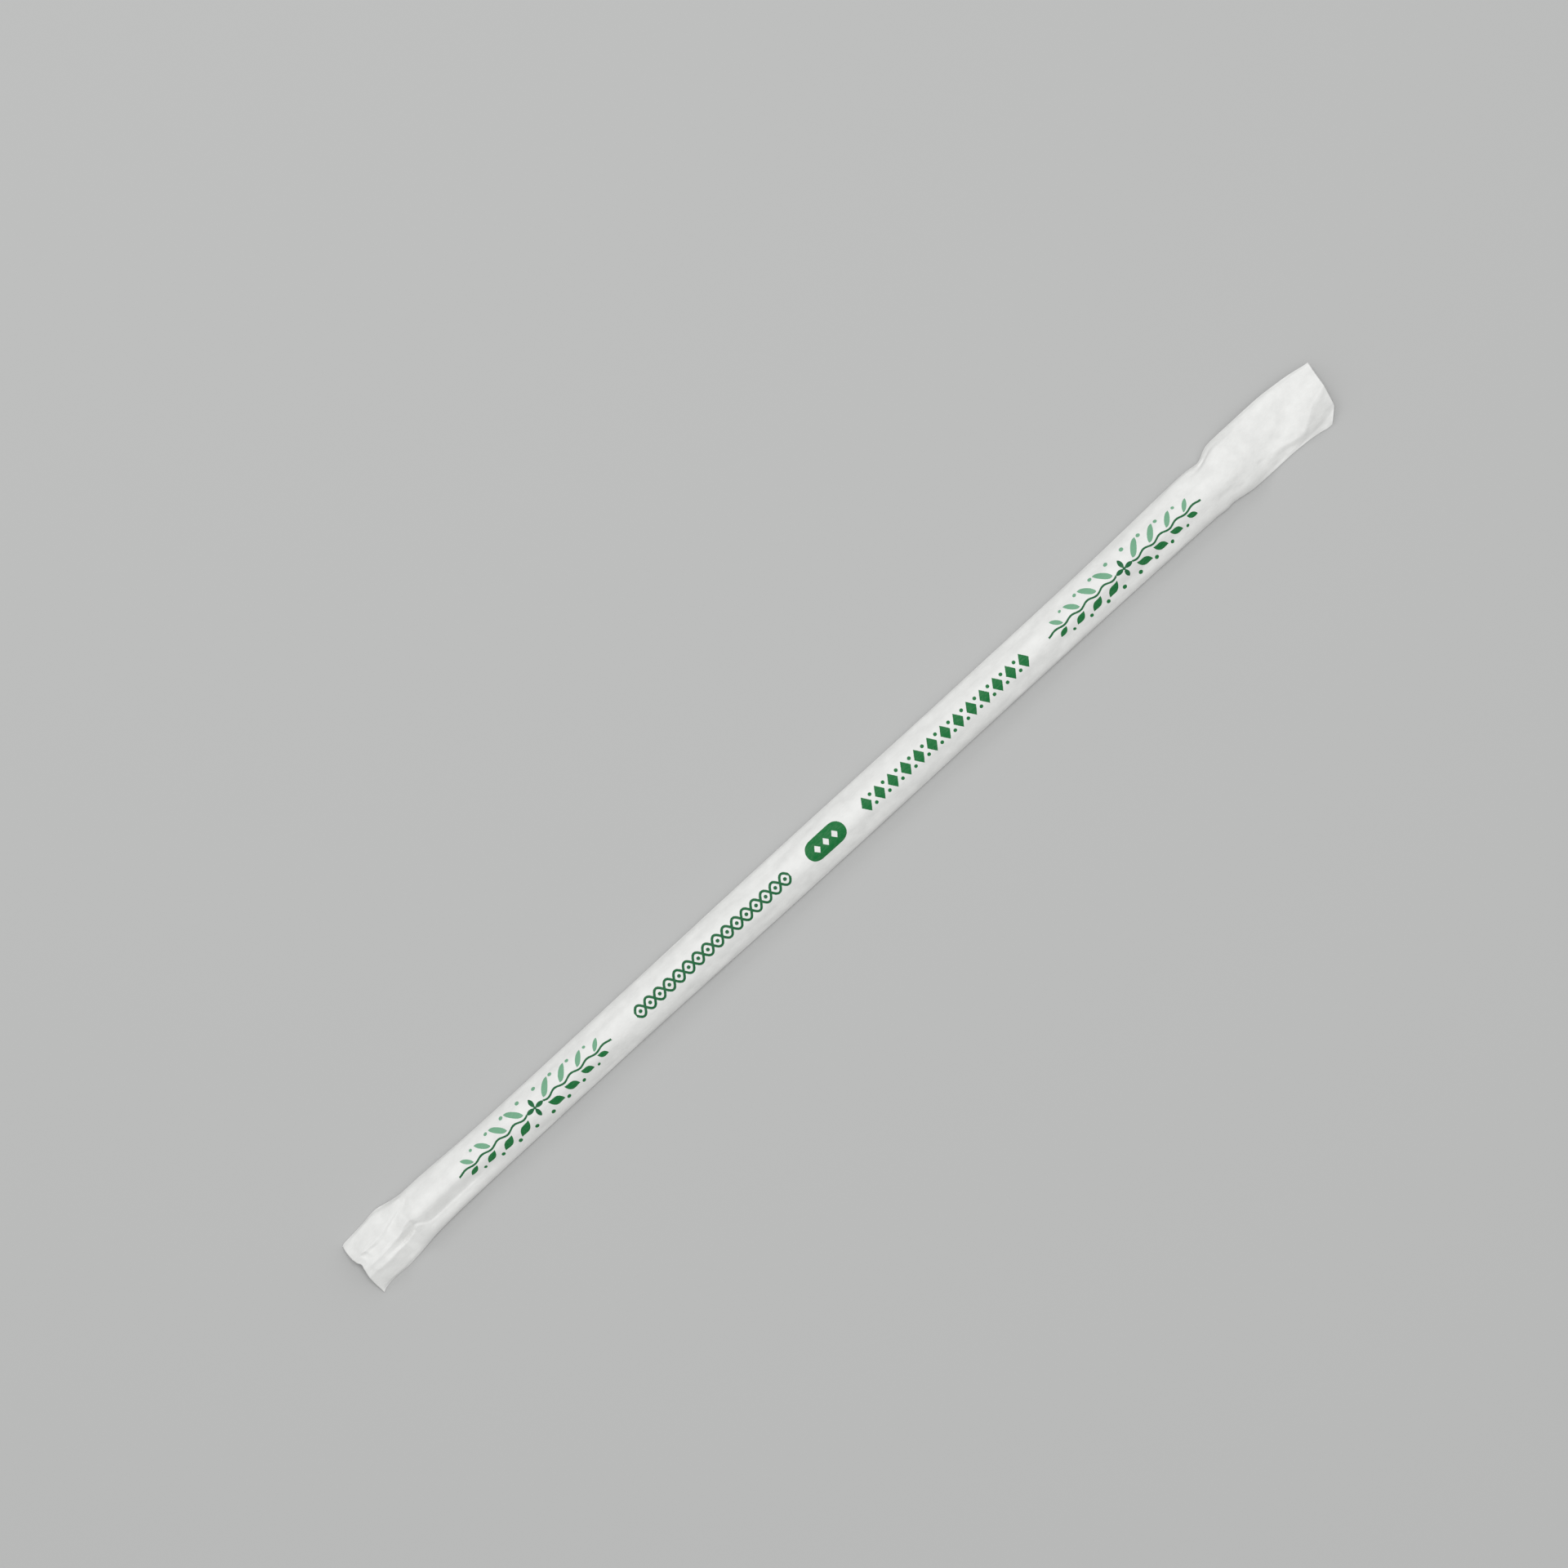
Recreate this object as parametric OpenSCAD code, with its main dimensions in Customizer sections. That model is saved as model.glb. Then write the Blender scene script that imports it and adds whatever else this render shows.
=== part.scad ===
// A drinking straw sealed in its own paper sleeve, lying on a table.
// The straw raises a round hump along the sleeve. Past the straw's ends the paper
// lies almost flat, with ridges, tucks and a bent corner. A sealed pack can't be seen
// into, so it is one closed solid. X runs along the straw, from the near end to the far
// end, Z is up, and the origin is under the middle of the sleeve, on the table.

/* [Straw] */
// Length of the straw inside the sleeve
straw_length = 210; // [150:5:260]
// Outside diameter of the straw
straw_diameter = 5.3; // [4.5:0.1:6.5]
// Sideways offset of the straw from the middle of the sleeve
straw_offset = 0.25; // [0:0.05:0.6]

/* [Sleeve] */
// Width of the sleeve where it lies flat
lay_flat_width = 12.3; // [11.5:0.1:15]
// Length of flat paper past the straw at the near end
near_flat = 15; // [12:0.5:25]
// Length of flat paper past the straw at the far end
far_flat = 27.4; // [22:0.2:40]
// Height of the side creases above the table, beside the straw
crease_height = 0.9; // [0.6:0.1:1.5]
// Thickness of a folded edge, with the air between its sheets
edge_thickness = 0.3; // [0.2:0.05:0.5]

/* [Seam] */
// Width of the glued lap seam under the sleeve, which it rests on
seam_width = 5; // [3:0.5:6]
// Height of the step at the seam's edges
seam_step = 0.12; // [0.06:0.02:0.2]

/* [Folds] */
// Depth of the tuck along the straw's right side
tuck_depth = 1; // [0.3:0.1:1.2]
// Height of the fold along the near end
near_fold_height = 2.4; // [0.8:0.1:3]
// Height of the pillow in the far end
far_pillow_height = 1.9; // [0.6:0.1:2.5]
// Height of the creases in the top sheet at both ends
ridge_height = 1; // [0.2:0.1:1.2]
// Depth of the notch in the near edge
notch_depth = 0.85; // [0.4:0.05:3]
// Slant of the far edge across the sleeve
far_slant = 1.9; // [0.4:0.1:4]
// Length of the corner cut from the far edge
corner_cut = 2.6; // [1:0.1:4]
// Drop of the bent corner at the far end
corner_drop = 0.8; // [0.3:0.1:1.4]

/* [Hidden] */

paper_colour = [0.93, 0.93, 0.94];
sleeve_length = near_flat + straw_length + far_flat;
near_end = -sleeve_length / 2;
far_end = sleeve_length / 2;
straw_start = near_end + near_flat;
straw_stop = far_end - far_flat;

// The straw with a sheet of paper round it
paper_thickness = 0.05;
hump_radius = straw_diameter / 2 + paper_thickness;

// The sleeve is narrower where the straw rounds it out
flat_half = lay_flat_width / 2;
body_half = flat_half - 0.2 * straw_diameter;

// Where the side edges run, as [place, spread]. A spread of 0 is the half width beside
// the straw and 1 is the half width of the flat sleeve. Places are shares of the flat
// paper, counted from that end, and in the middle shares of half the straw.
left_near = [[0, 0], [0.04, 0.25], [0.19, 0.42], [0.4, 0.67], [0.56, 0.95], [0.65, 0.97],
    [0.76, 0.67], [0.88, 0.3], [1, 0.05], [1.33, 0.02]];
left_middle = [[-0.8, -0.35], [-0.45, -0.25], [-0.1, -0.1], [0.35, -0.15], [0.7, 0]];
left_far = [[1.25, 0.5], [1.13, 0.4], [1.06, 0.15], [1.02, 0.4], [0.97, 1.05], [0.92, 1.45],
    [0.84, 1.55], [0.44, 1.55], [0.31, 1.3], [0.16, 0.85], [0.04, 0.25], [0, 0.1]];
right_near = [[0, 1.6], [0.07, 1.2], [0.23, 0.9], [0.47, 1], [0.73, 0.7], [0.97, 0.25], [1.27, 0],
    [1.67, -0.15]];
right_middle = [[-0.75, -0.3], [-0.45, -0.45], [-0.1, -0.2], [0.35, -0.3], [0.7, -0.35]];
right_far = [[1.2, -0.18], [1.12, 0], [1.05, -0.1], [0.95, 0.29], [0.88, 0.55], [0.72, 0.65],
    [0.5, 0.65], [0.365, 0.86], [0.25, 1.22], [0.17, 1.52], [0, 1.6]];

// Columns across the sleeve, as shares of the way from the straw's axis to an edge
top_shares = [0, 0.08, 0.16, 0.24, 0.31, 0.38, 0.44, 0.5, 0.56, 0.63, 0.7, 0.77, 0.83, 0.89, 0.95, 1];

// Width of the slope at each edge of the seam
seam_edge = 0.15;

// Spacing of the rings near the ends and along the middle, and how far the first reach
fine_step = 0.65;
middle_step = 4;
fine_near = near_flat + 6;
fine_far = far_flat + 4;

// How far the seam dips under the table before the table's plane trims it
seam_dip = 0.2;
table_margin = 5;

// Smooth steps
function clamp01(t) = max(0, min(1, t));
function smooth(t) = let(c = clamp01(t)) c * c * (3 - 2 * c);
function mix(a, b, t) = a + (b - a) * t;

// Value at x of a smooth curve through a table of points that rise in x
function slope_at(table, i) =
    let(a = max(i - 1, 0), b = min(i + 1, len(table) - 1))
    (table[b].y - table[a].y) / (table[b].x - table[a].x);
function span_value(table, i, x) =
    let(
        width = table[i + 1].x - table[i].x,
        t = (x - table[i].x) / width,
        rise = table[i + 1].y - table[i].y
    )
    table[i].y + rise * t * t * (3 - 2 * t)
    + width * slope_at(table, i) * t * (1 - t) * (1 - t)
    - width * slope_at(table, i + 1) * t * t * (1 - t);
function curve(table, x, i = 0) =
    x <= table[0].x ? table[0].y :
    i > len(table) - 2 ? table[len(table) - 1].y :
    x > table[i + 1].x ? curve(table, x, i + 1) :
    span_value(table, i, x);

// One table of spreads for a whole side, by distance along X
function whole_side(near, middle, far) = [
    for (p = near) [near_end + p.x * near_flat, p.y],
    for (p = middle) [(straw_start + straw_stop) / 2 + p.x * straw_length / 2, p.y],
    for (p = far) [far_end - p.x * far_flat, p.y]
];
left_side = whole_side(left_near, left_middle, left_far);
right_side = whole_side(right_near, right_middle, right_far);
function left_edge(s) = body_half + (flat_half - body_half) * curve(left_side, s);
function right_edge(s) = -body_half - (flat_half - body_half) * curve(right_side, s);

// How flat the paper has gone: 0 beside the straw and 1 towards the ends
function past_near(s) = straw_start - s;
function past_far(s) = s - straw_stop;
function flatness(s) =
    smooth(s < 0 ? (past_near(s) + 2) / (0.6 * near_flat) : (past_far(s) + 1) / (0.44 * far_flat));

// Share of the straw's hump that is left at a place along the sleeve
near_settle = 1.3 * straw_diameter;
far_settle = 2.4 * straw_diameter;
function hump_share(s) =
    1 - smooth(s < 0 ? (past_near(s) + 1) / near_settle : (past_far(s) + 1) / far_settle);

// Height of a crease's top above the table
function foot(s) = edge_thickness + (crease_height - edge_thickness) * (1 - flatness(s));

// Paper from a crease over the straw, at a distance t from the axis. It is drawn tight,
// with straight sides, and the more so the lower its roundness.
roundness = 0.6;
function tight(t, reach, foot_z) =
    let(
        drop = hump_radius - foot_z,
        away = sqrt(reach * reach + drop * drop),
        turn = acos(hump_radius / away) - atan2(drop, reach),
        touch = hump_radius * cos(turn),
        touch_z = hump_radius + hump_radius * sin(turn),
        straight = t < touch ? hump_radius + sqrt(hump_radius * hump_radius - t * t)
            : mix(touch_z, foot_z, (t - touch) / (reach - touch)),
        round_side = mix(foot_z, 2 * hump_radius, sqrt(max(0, 1 - pow(t / reach, 2))))
    )
    mix(straight, round_side, roundness);

// The tuck: the sheet goes down nearly straight from the straw's crest to a crease, and
// runs out from there to the edge. Its depth is [share of the way to the edge, share of
// the depth], and along the straw [share of the straw, share of the depth].
tuck_form = [[0, 0], [0.1, 0.08], [0.2, 0.3], [0.3, 0.62], [0.4, 0.88], [0.48, 0.99], [0.53, 1], [0.555, 0.96],
    [0.6, 0.82], [0.68, 0.62], [0.8, 0.28], [0.93, 0.04], [1, 0]];
tuck_run = [[0, 0.3], [0.01, 1], [0.06, 0.85], [0.1, 0.12], [0.3, 0], [0.72, 0], [0.8, 0.12],
    [0.86, 0.5], [0.93, 0.45], [0.97, 0.15], [1, 0.1]];
function tuck(s, share) =
    tuck_depth * curve(tuck_run, (s - straw_start) / straw_length) * curve(tuck_form, share);

// Creases of the top sheet, from right to left. Each runs through points [out, left, rise]:
// out is a share of the flat paper, counted from the straw's end outwards, left is a share
// of the flat half width, to the left of the middle, and rise is a share of ridge_height,
// below 0 in a valley. The paper is straight from one crease to the next.
near_creases = [
    [[1, -1.6, 0]],
    // Right edge
    [[1.02, -1.08, 0], [0.45, -1.02, 0], [0.12, -0.94, 0], [-0.2, -0.86, 0], [-0.95, -0.84, 0]],
    // Foot of the steep band beside the right edge
    [[1.02, -0.92, 0.1], [0.6, -0.93, 0.1], [0.42, -0.91, 0.2], [0.33, -0.74, 0.75], [0.23, -0.78, 0.15],
        [0.1, -0.74, 0.1], [0.02, -0.7, 0.1], [-0.08, -0.69, 0.1], [-0.35, -0.7, 0.12],
        [-0.6, -0.68, 0.08], [-0.95, -0.68, 0]],
    // Ridge over that band, round the kink and along the tuck
    [[1.02, -0.46, 0.8], [0.79, -0.48, 1.1], [0.59, -0.46, 1.1], [0.42, -0.43, 1],
        [0.3, -0.4, 0.7], [0.22, -0.37, 0.4], [0.13, -0.34, 0.1], [0.07, -0.26, 0.05],
        [0.01, -0.33, 0], [-0.05, -0.43, 0], [-0.2, -0.48, 0.08], [-0.48, -0.47, 0.06],
        [-0.75, -0.46, 0.08], [-1, -0.45, 0]],
    // Valley above it, deepest where the straw ends
    [[1.02, -0.3, 0.85], [0.9, -0.27, 1.05], [0.65, -0.27, 1.05], [0.55, -0.31, 0.95],
        [0.43, -0.31, 0.6], [0.35, -0.29, -0.15], [0.25, -0.27, -1], [0.15, -0.26, -1.3],
        [0.09, -0.14, -0.75], [0.03, -0.18, -0.3], [-0.03, -0.34, -0.3], [-0.1, -0.42, -0.15],
        [-0.28, -0.43, -0.06], [-0.52, -0.43, -0.04], [-0.75, -0.43, -0.02], [-1, -0.42, 0]],
    // Narrow step above the valley, and its upper brow
    [[1.02, -0.14, 0.8], [0.9, -0.17, 1.05], [0.65, -0.17, 1.05], [0.52, -0.15, 0.85],
        [0.4, -0.16, 0.6], [0.34, -0.14, 0.55], [0.27, -0.06, 0.3], [0.19, 0.02, 0.05],
        [0.1, 0.03, -0.05], [0, -0.04, 0], [-0.2, -0.1, 0], [-0.95, -0.15, 0]],
    [[1.02, 0.03, 0.85], [0.91, -0.1, 0.85], [0.65, -0.1, 0.8], [0.52, -0.07, 0.75],
        [0.4, -0.04, 0.7], [0.27, 0.1, 0.4], [0.19, 0.16, 0.12], [0.1, 0.18, 0],
        [-0.2, 0.1, 0], [-0.95, 0.1, 0]],
    // Shadow side of the long crease to the left edge
    [[1.02, 0.14, 1.2], [0.86, 0.11, 1.4], [0.8, 0.17, 1.85], [0.49, 0.16, 1.75], [0.39, 0.29, 1.35],
        [0.25, 0.4, 0.55], [0.12, 0.47, 0.05], [0, 0.54, -0.3], [-0.07, 0.64, -0.15], [-0.35, 0.7, 0],
        [-0.95, 0.74, 0]],
    // The long crease itself
    [[1.02, 0.33, 1.4], [0.81, 0.27, 2.1], [0.65, 0.26, 2.15], [0.49, 0.31, 2.05], [0.39, 0.39, 1.7],
        [0.25, 0.47, 1], [0.12, 0.54, 0.5], [0.02, 0.63, 0.45], [-0.04, 0.71, 0], [-0.35, 0.76, 0],
        [-0.95, 0.78, 0]],
    // Outer side of the facet that ends in a point
    [[1.02, 0.74, 0.35], [0.72, 0.78, 0.6], [0.48, 0.83, 0.6], [0.35, 0.81, 0.6], [0.23, 0.8, 1.1],
        [0.12, 0.79, 1.4], [0.03, 0.77, 1.4], [-0.04, 0.73, 0], [-0.35, 0.79, 0], [-0.95, 0.8, 0]],
    // Left edge
    [[1.02, 0.88, 0], [0.72, 0.92, 0.05], [0.45, 1, 0.05], [0.23, 0.91, 0], [-0.05, 0.84, 0],
        [-0.95, 0.85, 0]],
    [[1, 1.6, 0]]
];
far_creases = [
    [[1, -1.6, 0]],
    // Right edge
    [[-0.25, -0.84, 0], [-0.05, -0.84, 0], [0.12, -0.93, 0], [0.5, -0.95, 0], [0.75, -1.05, 0],
        [0.88, -1.1, 0], [1.02, -1.12, 0]],
    // Foot of the short wrinkle and of the bent corner
    [[-0.25, -0.66, 0], [-0.1, -0.65, 0.08], [0.15, -0.74, 0.1], [0.3, -0.72, 0.1], [0.37, -0.66, 0],
        [0.41, -0.65, -0.06], [0.52, -0.74, -0.06], [0.6, -0.82, 0.1], [0.66, -0.82, 0.35],
        [0.74, -0.74, 0.85], [0.85, -0.64, 1.1], [0.95, -0.6, 1.05], [1.02, -0.6, 0.9]],
    // Short wrinkle, which runs on into the crease of the bent corner
    [[-0.25, -0.5, 0], [-0.15, -0.47, -0.03], [-0.08, -0.44, -0.08], [0, -0.46, -0.08],
        [0.05, -0.58, 0], [0.15, -0.62, 0.08], [0.23, -0.55, 0.05], [0.26, -0.44, -0.1],
        [0.29, -0.45, -0.1], [0.33, -0.5, 0.05], [0.38, -0.48, 0.06], [0.41, -0.5, 0.2],
        [0.48, -0.57, 0.24], [0.61, -0.7, 0.45], [0.65, -0.67, 0.75], [0.74, -0.42, 1.45],
        [0.81, -0.21, 1.6], [0.95, -0.06, 1.5], [1.02, 0, 1.3]],
    // Wrinkle by the straw's end, and the pit past it
    [[-0.25, -0.4, 0], [-0.15, -0.36, 0], [-0.07, -0.33, 0.1], [0.03, -0.36, 0.12],
        [0.06, -0.47, 0.06], [0.15, -0.5, 0.06], [0.23, -0.42, 0.05], [0.26, -0.36, 0.12],
        [0.29, -0.37, 0.12], [0.33, -0.42, 0.04], [0.48, -0.45, 0.1], [0.6, -0.52, 0.3],
        [0.66, -0.45, 0.55], [0.74, -0.2, 1], [0.81, -0.04, 1.1], [0.95, 0.09, 1.15],
        [1.02, 0.14, 1]],
    // Two soft creases across the pillow
    [[-0.25, -0.12, 0], [0.16, -0.07, 0], [0.32, -0.2, -0.02], [0.46, -0.3, -0.02],
        [0.55, -0.28, 0], [0.64, 0.16, 0], [0.72, 0.57, 0.1], [0.8, 0.3, 0.35], [0.87, 0.24, 0.6],
        [0.95, 0.28, 0.7], [1.02, 0.3, 0.65]],
    [[-0.25, 0.3, 0], [-0.1, 0.35, 0], [0.1, 0.5, 0.05], [0.3, 0.3, 0.06], [0.42, 0, 0.06],
        [0.5, -0.16, 0.12], [0.58, 0.33, 0.25], [0.66, 0.73, 0.25], [0.8, 0.7, 0.2], [1.02, 0.6, 0.2]],
    // Shoulder, valley and rim beside the left edge
    [[-0.25, 0.55, 0], [-0.09, 0.63, 0.1], [-0.02, 0.73, 0.25], [0.05, 0.82, 0.6], [0.12, 0.85, 0.75],
        [0.25, 0.86, 0.75], [0.41, 0.9, 0.6], [0.66, 0.93, 0.4], [0.85, 0.88, 0.3], [1.02, 0.78, 0.15]],
    [[-0.25, 0.7, 0], [-0.11, 0.69, -0.1], [-0.06, 0.74, -0.6], [0, 0.81, -0.35], [0.05, 0.9, 0.2],
        [0.12, 0.95, 0.4], [0.3, 0.97, 0.35], [0.42, 1, 0.3], [0.66, 1, 0.2], [0.85, 0.94, 0.15],
        [1.02, 0.84, 0.05]],
    [[-0.25, 0.8, 0], [-0.1, 0.78, 0.1], [-0.03, 0.86, 0.25], [0.05, 1, 0.1], [0.12, 1.03, 0.1],
        [0.3, 1.05, 0.1], [0.66, 1.04, 0.05], [1.02, 0.9, 0]],
    [[1, 1.6, 0]]
];

// Each crease as two tables by distance along X: its place across and its height
function near_place(out) = straw_start - out * near_flat;
function far_place(out) = straw_stop + out * far_flat;
function crease_lines(creases, far) = [
    for (crease = creases) [
        [for (p = crease) [far ? far_place(p[0]) : near_place(p[0]), p[1] * flat_half]],
        [for (p = crease) [far ? far_place(p[0]) : near_place(p[0]), p[2] * ridge_height]]
    ]
];
near_lines = crease_lines(near_creases, false);
far_lines = crease_lines(far_creases, true);
function creases_at(s) = [
    for (line = s < 0 ? near_lines : far_lines) [lookup(s, line[0]), lookup(s, line[1])]
];

// The fold along the near end: a low roof, which both sheets follow
fold_line = -0.1 * flat_half;
function near_fold(s, y, left, right) =
    let(down = y > fold_line ? (y - fold_line) / (left - fold_line) : (fold_line - y) / (fold_line - right))
    near_fold_height * smooth((past_near(s) + 1) / (0.4 * near_flat)) * clamp01(1 - down);

// The pillow in the far end, which hangs over the table on its left and sinks towards
// the edge
far_hang = 0.8;
pillow_sink = 0.45;
function far_pillow(s, y, left, right) =
    let(across = (2 * y - left - right) / (left - right))
    far_hang * flatness(s) * clamp01((1 + across) / 2) + far_pillow_height * (1 - across * across)
    * smooth((past_far(s) + 2) / (0.5 * far_flat)) * (1 - pillow_sink * past_far(s) / far_flat);

// The bent corner, past a crease across the far end
corner_reach = 4.5;
corner_from = [far_place(0.64), -0.72 * flat_half];
corner_to = [far_place(0.95), -0.1 * flat_half];
function corner_bend(p) =
    let(run = corner_to - corner_from, away = p - corner_from)
    -corner_drop * clamp01((run.y * away.x - run.x * away.y) / norm(run) / corner_reach);

// Height that both sheets share: the ends hang just above the table
function shared_lift(s, y, left, right) =
    s < 0 ? near_fold(s, y, left, right)
    : max(0, far_pillow(s, y, left, right) + corner_bend([s, y]));

// Height of the top sheet at a place, between the creases of its ring
edge_band = 0.06;
dent_limit = 0.5;
function top_height(s, y, left, right, creases) =
    let(
        reach = y > straw_offset ? left - straw_offset : straw_offset - right,
        share = clamp01(abs(y - straw_offset) / reach),
        low = foot(s),
        lift = shared_lift(s, y, left, right),
        hump = tight(share * reach, reach, low) - low,
        dip = y < straw_offset ? tuck(s, share) : 0,
        raised = max(0, hump_share(s) * (hump - dip)),
        crease = lookup(y, creases) * clamp01((1 - share) / edge_band)
    )
    low + lift + max(raised + crease, -dent_limit * lift);

// Height of the lower sheet: level under the seam and rising to the creases. Where the top
// sheet is pressed down, it presses the lower one too, and at the ends' edges the two are
// sealed together.
least_gap = 0.15;
closing_run = 6;
function closing(s) = 1 - smooth(min(s - near_end, far_end - s) / closing_run);
function bottom_height(s, y, left, right, creases) =
    let(
        away = abs(y - straw_offset) - seam_width / 2,
        reach = (y > straw_offset ? left - straw_offset : straw_offset - right) - seam_width / 2,
        rise = clamp01((away - seam_edge) / (reach - seam_edge)),
        beside = mix(seam_step, foot(s) - edge_thickness, pow(rise, 1.5)),
        under = -seam_dip * (1 - flatness(s)),
        free = shared_lift(s, y, left, right) + (away < seam_edge / 2 ? under : beside),
        top = top_height(s, y, left, right, creases)
    )
    min(mix(free, top - edge_thickness, closing(s)), top - least_gap);

// How the end edges depart from straight cuts, by the share across from right to left
near_shape = [[0, 0.1], [0.17, 0.15], [0.34, 0.35], [0.5, 0.85], [0.58, 1], [0.66, 0.4], [0.86, 0],
    [1, 0.1]];
corner_share = 0.2;
inset_run = 9;
function near_inset(across) = notch_depth * curve(near_shape, across);
function far_inset(across) =
    across < corner_share ? far_slant + corner_cut * (1 - across / corner_share)
    : far_slant * (1 - across) / (1 - corner_share);
function near_pull(s) = pow(clamp01(1 - (s - near_end) / inset_run), 2);
function far_pull(s) = pow(clamp01(1 - (far_end - s) / inset_run), 2);

// One point of a ring, drawn in from the end edge where it is near one
function sleeve_point(s, y, z, left, right) =
    let(across = (y - right) / (left - right))
    [s + near_inset(across) * near_pull(s) - far_inset(across) * far_pull(s), y, z];
function top_place(side, share, left, right) =
    straw_offset + side * share * (side > 0 ? left - straw_offset : straw_offset - right);

// Places of the lower sheet's columns, from the right edge to the left one
function bottom_places(left, right) =
    let(
        half = seam_width / 2,
        seam_right = straw_offset - half - seam_edge,
        seam_left = straw_offset + half + seam_edge
    )
    [
        for (t = [0:0.25:0.75]) mix(right, seam_right, t),
        seam_right,
        straw_offset - half,
        straw_offset,
        straw_offset + half,
        seam_left,
        for (t = [0.25:0.25:1]) mix(seam_left, left, t)
    ];

// One ring of the sleeve: the top from left to right, then the lower sheet back
last_share = len(top_shares) - 1;
function ring(s) =
    let(
        left = left_edge(s),
        right = right_edge(s),
        creases = creases_at(s),
        top_places = [
            for (i = [last_share:-1:0]) top_place(1, top_shares[i], left, right),
            for (i = [1:last_share]) top_place(-1, top_shares[i], left, right)
        ]
    )
    [
        for (y = top_places)
            sleeve_point(s, y, top_height(s, y, left, right, creases), left, right),
        for (y = bottom_places(left, right))
            sleeve_point(s, y, bottom_height(s, y, left, right, creases), left, right)
    ];

// Places of the rings along the sleeve, closer together at the ends
near_rings = ceil(fine_near / fine_step);
far_rings = ceil(fine_far / fine_step);
middle_length = sleeve_length - fine_near - fine_far;
middle_rings = ceil(middle_length / middle_step);
places = [
    for (i = [0:near_rings - 1]) near_end + i * fine_near / near_rings,
    for (i = [0:middle_rings - 1]) near_end + fine_near + i * middle_length / middle_rings,
    for (i = [0:far_rings]) far_end - fine_far + i * fine_far / far_rings
];
rings = [for (s = places) ring(s)];
ring_count = len(rings);
ring_size = len(rings[0]);
sleeve_points = [for (r = rings) for (p = r) p];
side_faces = [
    for (i = [0:ring_count - 2]) for (j = [0:ring_size - 1])
        let(a = i * ring_size, b = a + ring_size, k = (j + 1) % ring_size)
        each [[a + j, b + k, a + k], [a + j, b + j, b + k]]
];

// Each end is closed by triangles between the top and the lower sheet
top_count = 2 * last_share + 1;
bottom_count = ring_size - top_count;
function below(i) = round(i * (bottom_count - 1) / (top_count - 1));
function cap(first) = [
    for (i = [0:top_count - 2])
        let(here = first + ring_size - 1 - below(i), next = first + ring_size - 1 - below(i + 1))
        each [[first + i, first + i + 1, here], if (next < here) [first + i + 1, next, here]]
];
function turned_over(faces) = [for (f = faces) [f[2], f[1], f[0]]];
near_cap = cap(0);
far_cap = turned_over(cap((ring_count - 1) * ring_size));

// The middle of the outline, which is moved over the origin
function middle_of(values) = (max(values) + min(values)) / 2;
middle_x = middle_of([for (p = sleeve_points) p.x]);
middle_y = middle_of([for (p = sleeve_points) p.y]);

module table_side() {
    size = sleeve_length + 2 * table_margin;
    translate([-size / 2, -size / 2, -table_margin])
        cube([size, size, table_margin]);
}

module wrapped_straw() {
    color(paper_colour)
        translate([-middle_x, -middle_y, 0])
            difference() {
                polyhedron(points = sleeve_points, faces = concat(side_faces, near_cap, far_cap));
                table_side();
            }
}

wrapped_straw();
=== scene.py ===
"""The looks of a drinking straw sealed in its paper sleeve, lying on a pale floor.

The packed solid gives the frame. The sleeve here is the same loft with finer rings and
columns, thinner folds, sharper creases, puckers and crumple, and it takes the solid's
place in the picture.
Lengths are in millimetres until a mesh is made, and X runs along the straw.
"""

import logging
import math
from dataclasses import dataclass
from enum import Enum
from typing import Any, Callable, Dict, List, Mapping, Optional, Sequence, Tuple, Union

import bpy
import numpy as np
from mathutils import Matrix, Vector


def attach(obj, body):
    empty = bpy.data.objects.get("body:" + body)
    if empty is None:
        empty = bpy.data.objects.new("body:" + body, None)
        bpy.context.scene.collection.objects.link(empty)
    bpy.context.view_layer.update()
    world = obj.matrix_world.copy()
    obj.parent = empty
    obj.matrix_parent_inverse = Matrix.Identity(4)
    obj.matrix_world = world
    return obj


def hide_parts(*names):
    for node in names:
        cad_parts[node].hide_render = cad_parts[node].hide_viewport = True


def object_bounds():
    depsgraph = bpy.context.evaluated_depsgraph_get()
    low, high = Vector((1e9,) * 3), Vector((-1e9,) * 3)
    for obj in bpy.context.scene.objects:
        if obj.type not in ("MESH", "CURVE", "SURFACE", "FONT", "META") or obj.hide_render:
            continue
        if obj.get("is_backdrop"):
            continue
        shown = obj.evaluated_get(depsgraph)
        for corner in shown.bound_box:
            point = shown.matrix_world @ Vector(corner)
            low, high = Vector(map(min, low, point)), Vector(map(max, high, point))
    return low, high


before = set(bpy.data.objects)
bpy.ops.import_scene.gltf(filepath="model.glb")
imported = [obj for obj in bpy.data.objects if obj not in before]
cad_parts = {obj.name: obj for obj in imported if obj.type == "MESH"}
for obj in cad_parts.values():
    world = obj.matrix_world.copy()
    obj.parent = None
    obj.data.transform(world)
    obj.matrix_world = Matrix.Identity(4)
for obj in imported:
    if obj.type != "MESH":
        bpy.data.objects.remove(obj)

LOG = logging.getLogger("wrapped_straw")
MM = 0.001
NODE = "wrapped_straw"
SHEET_MAP = "Sheet"
BAKE_MAP = "OFBake"
MAP_SCALE = 100.0
SLACK_MAPS = ("slack", "free")

Table = Sequence[Tuple[float, float]]
Array = np.ndarray
Points = List[Tuple[float, float, float]]
Faces = List[Tuple[int, ...]]


def eased(t: Array) -> Array:
    """Return a smooth step from 0 to 1 as t goes from 0 to 1."""
    c = np.clip(t, 0.0, 1.0)
    return c * c * (3.0 - 2.0 * c)


def mixed(a: Array, b: Array, t: Array) -> Array:
    """Return the value a share t of the way from a to b."""
    return a + (b - a) * t


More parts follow.
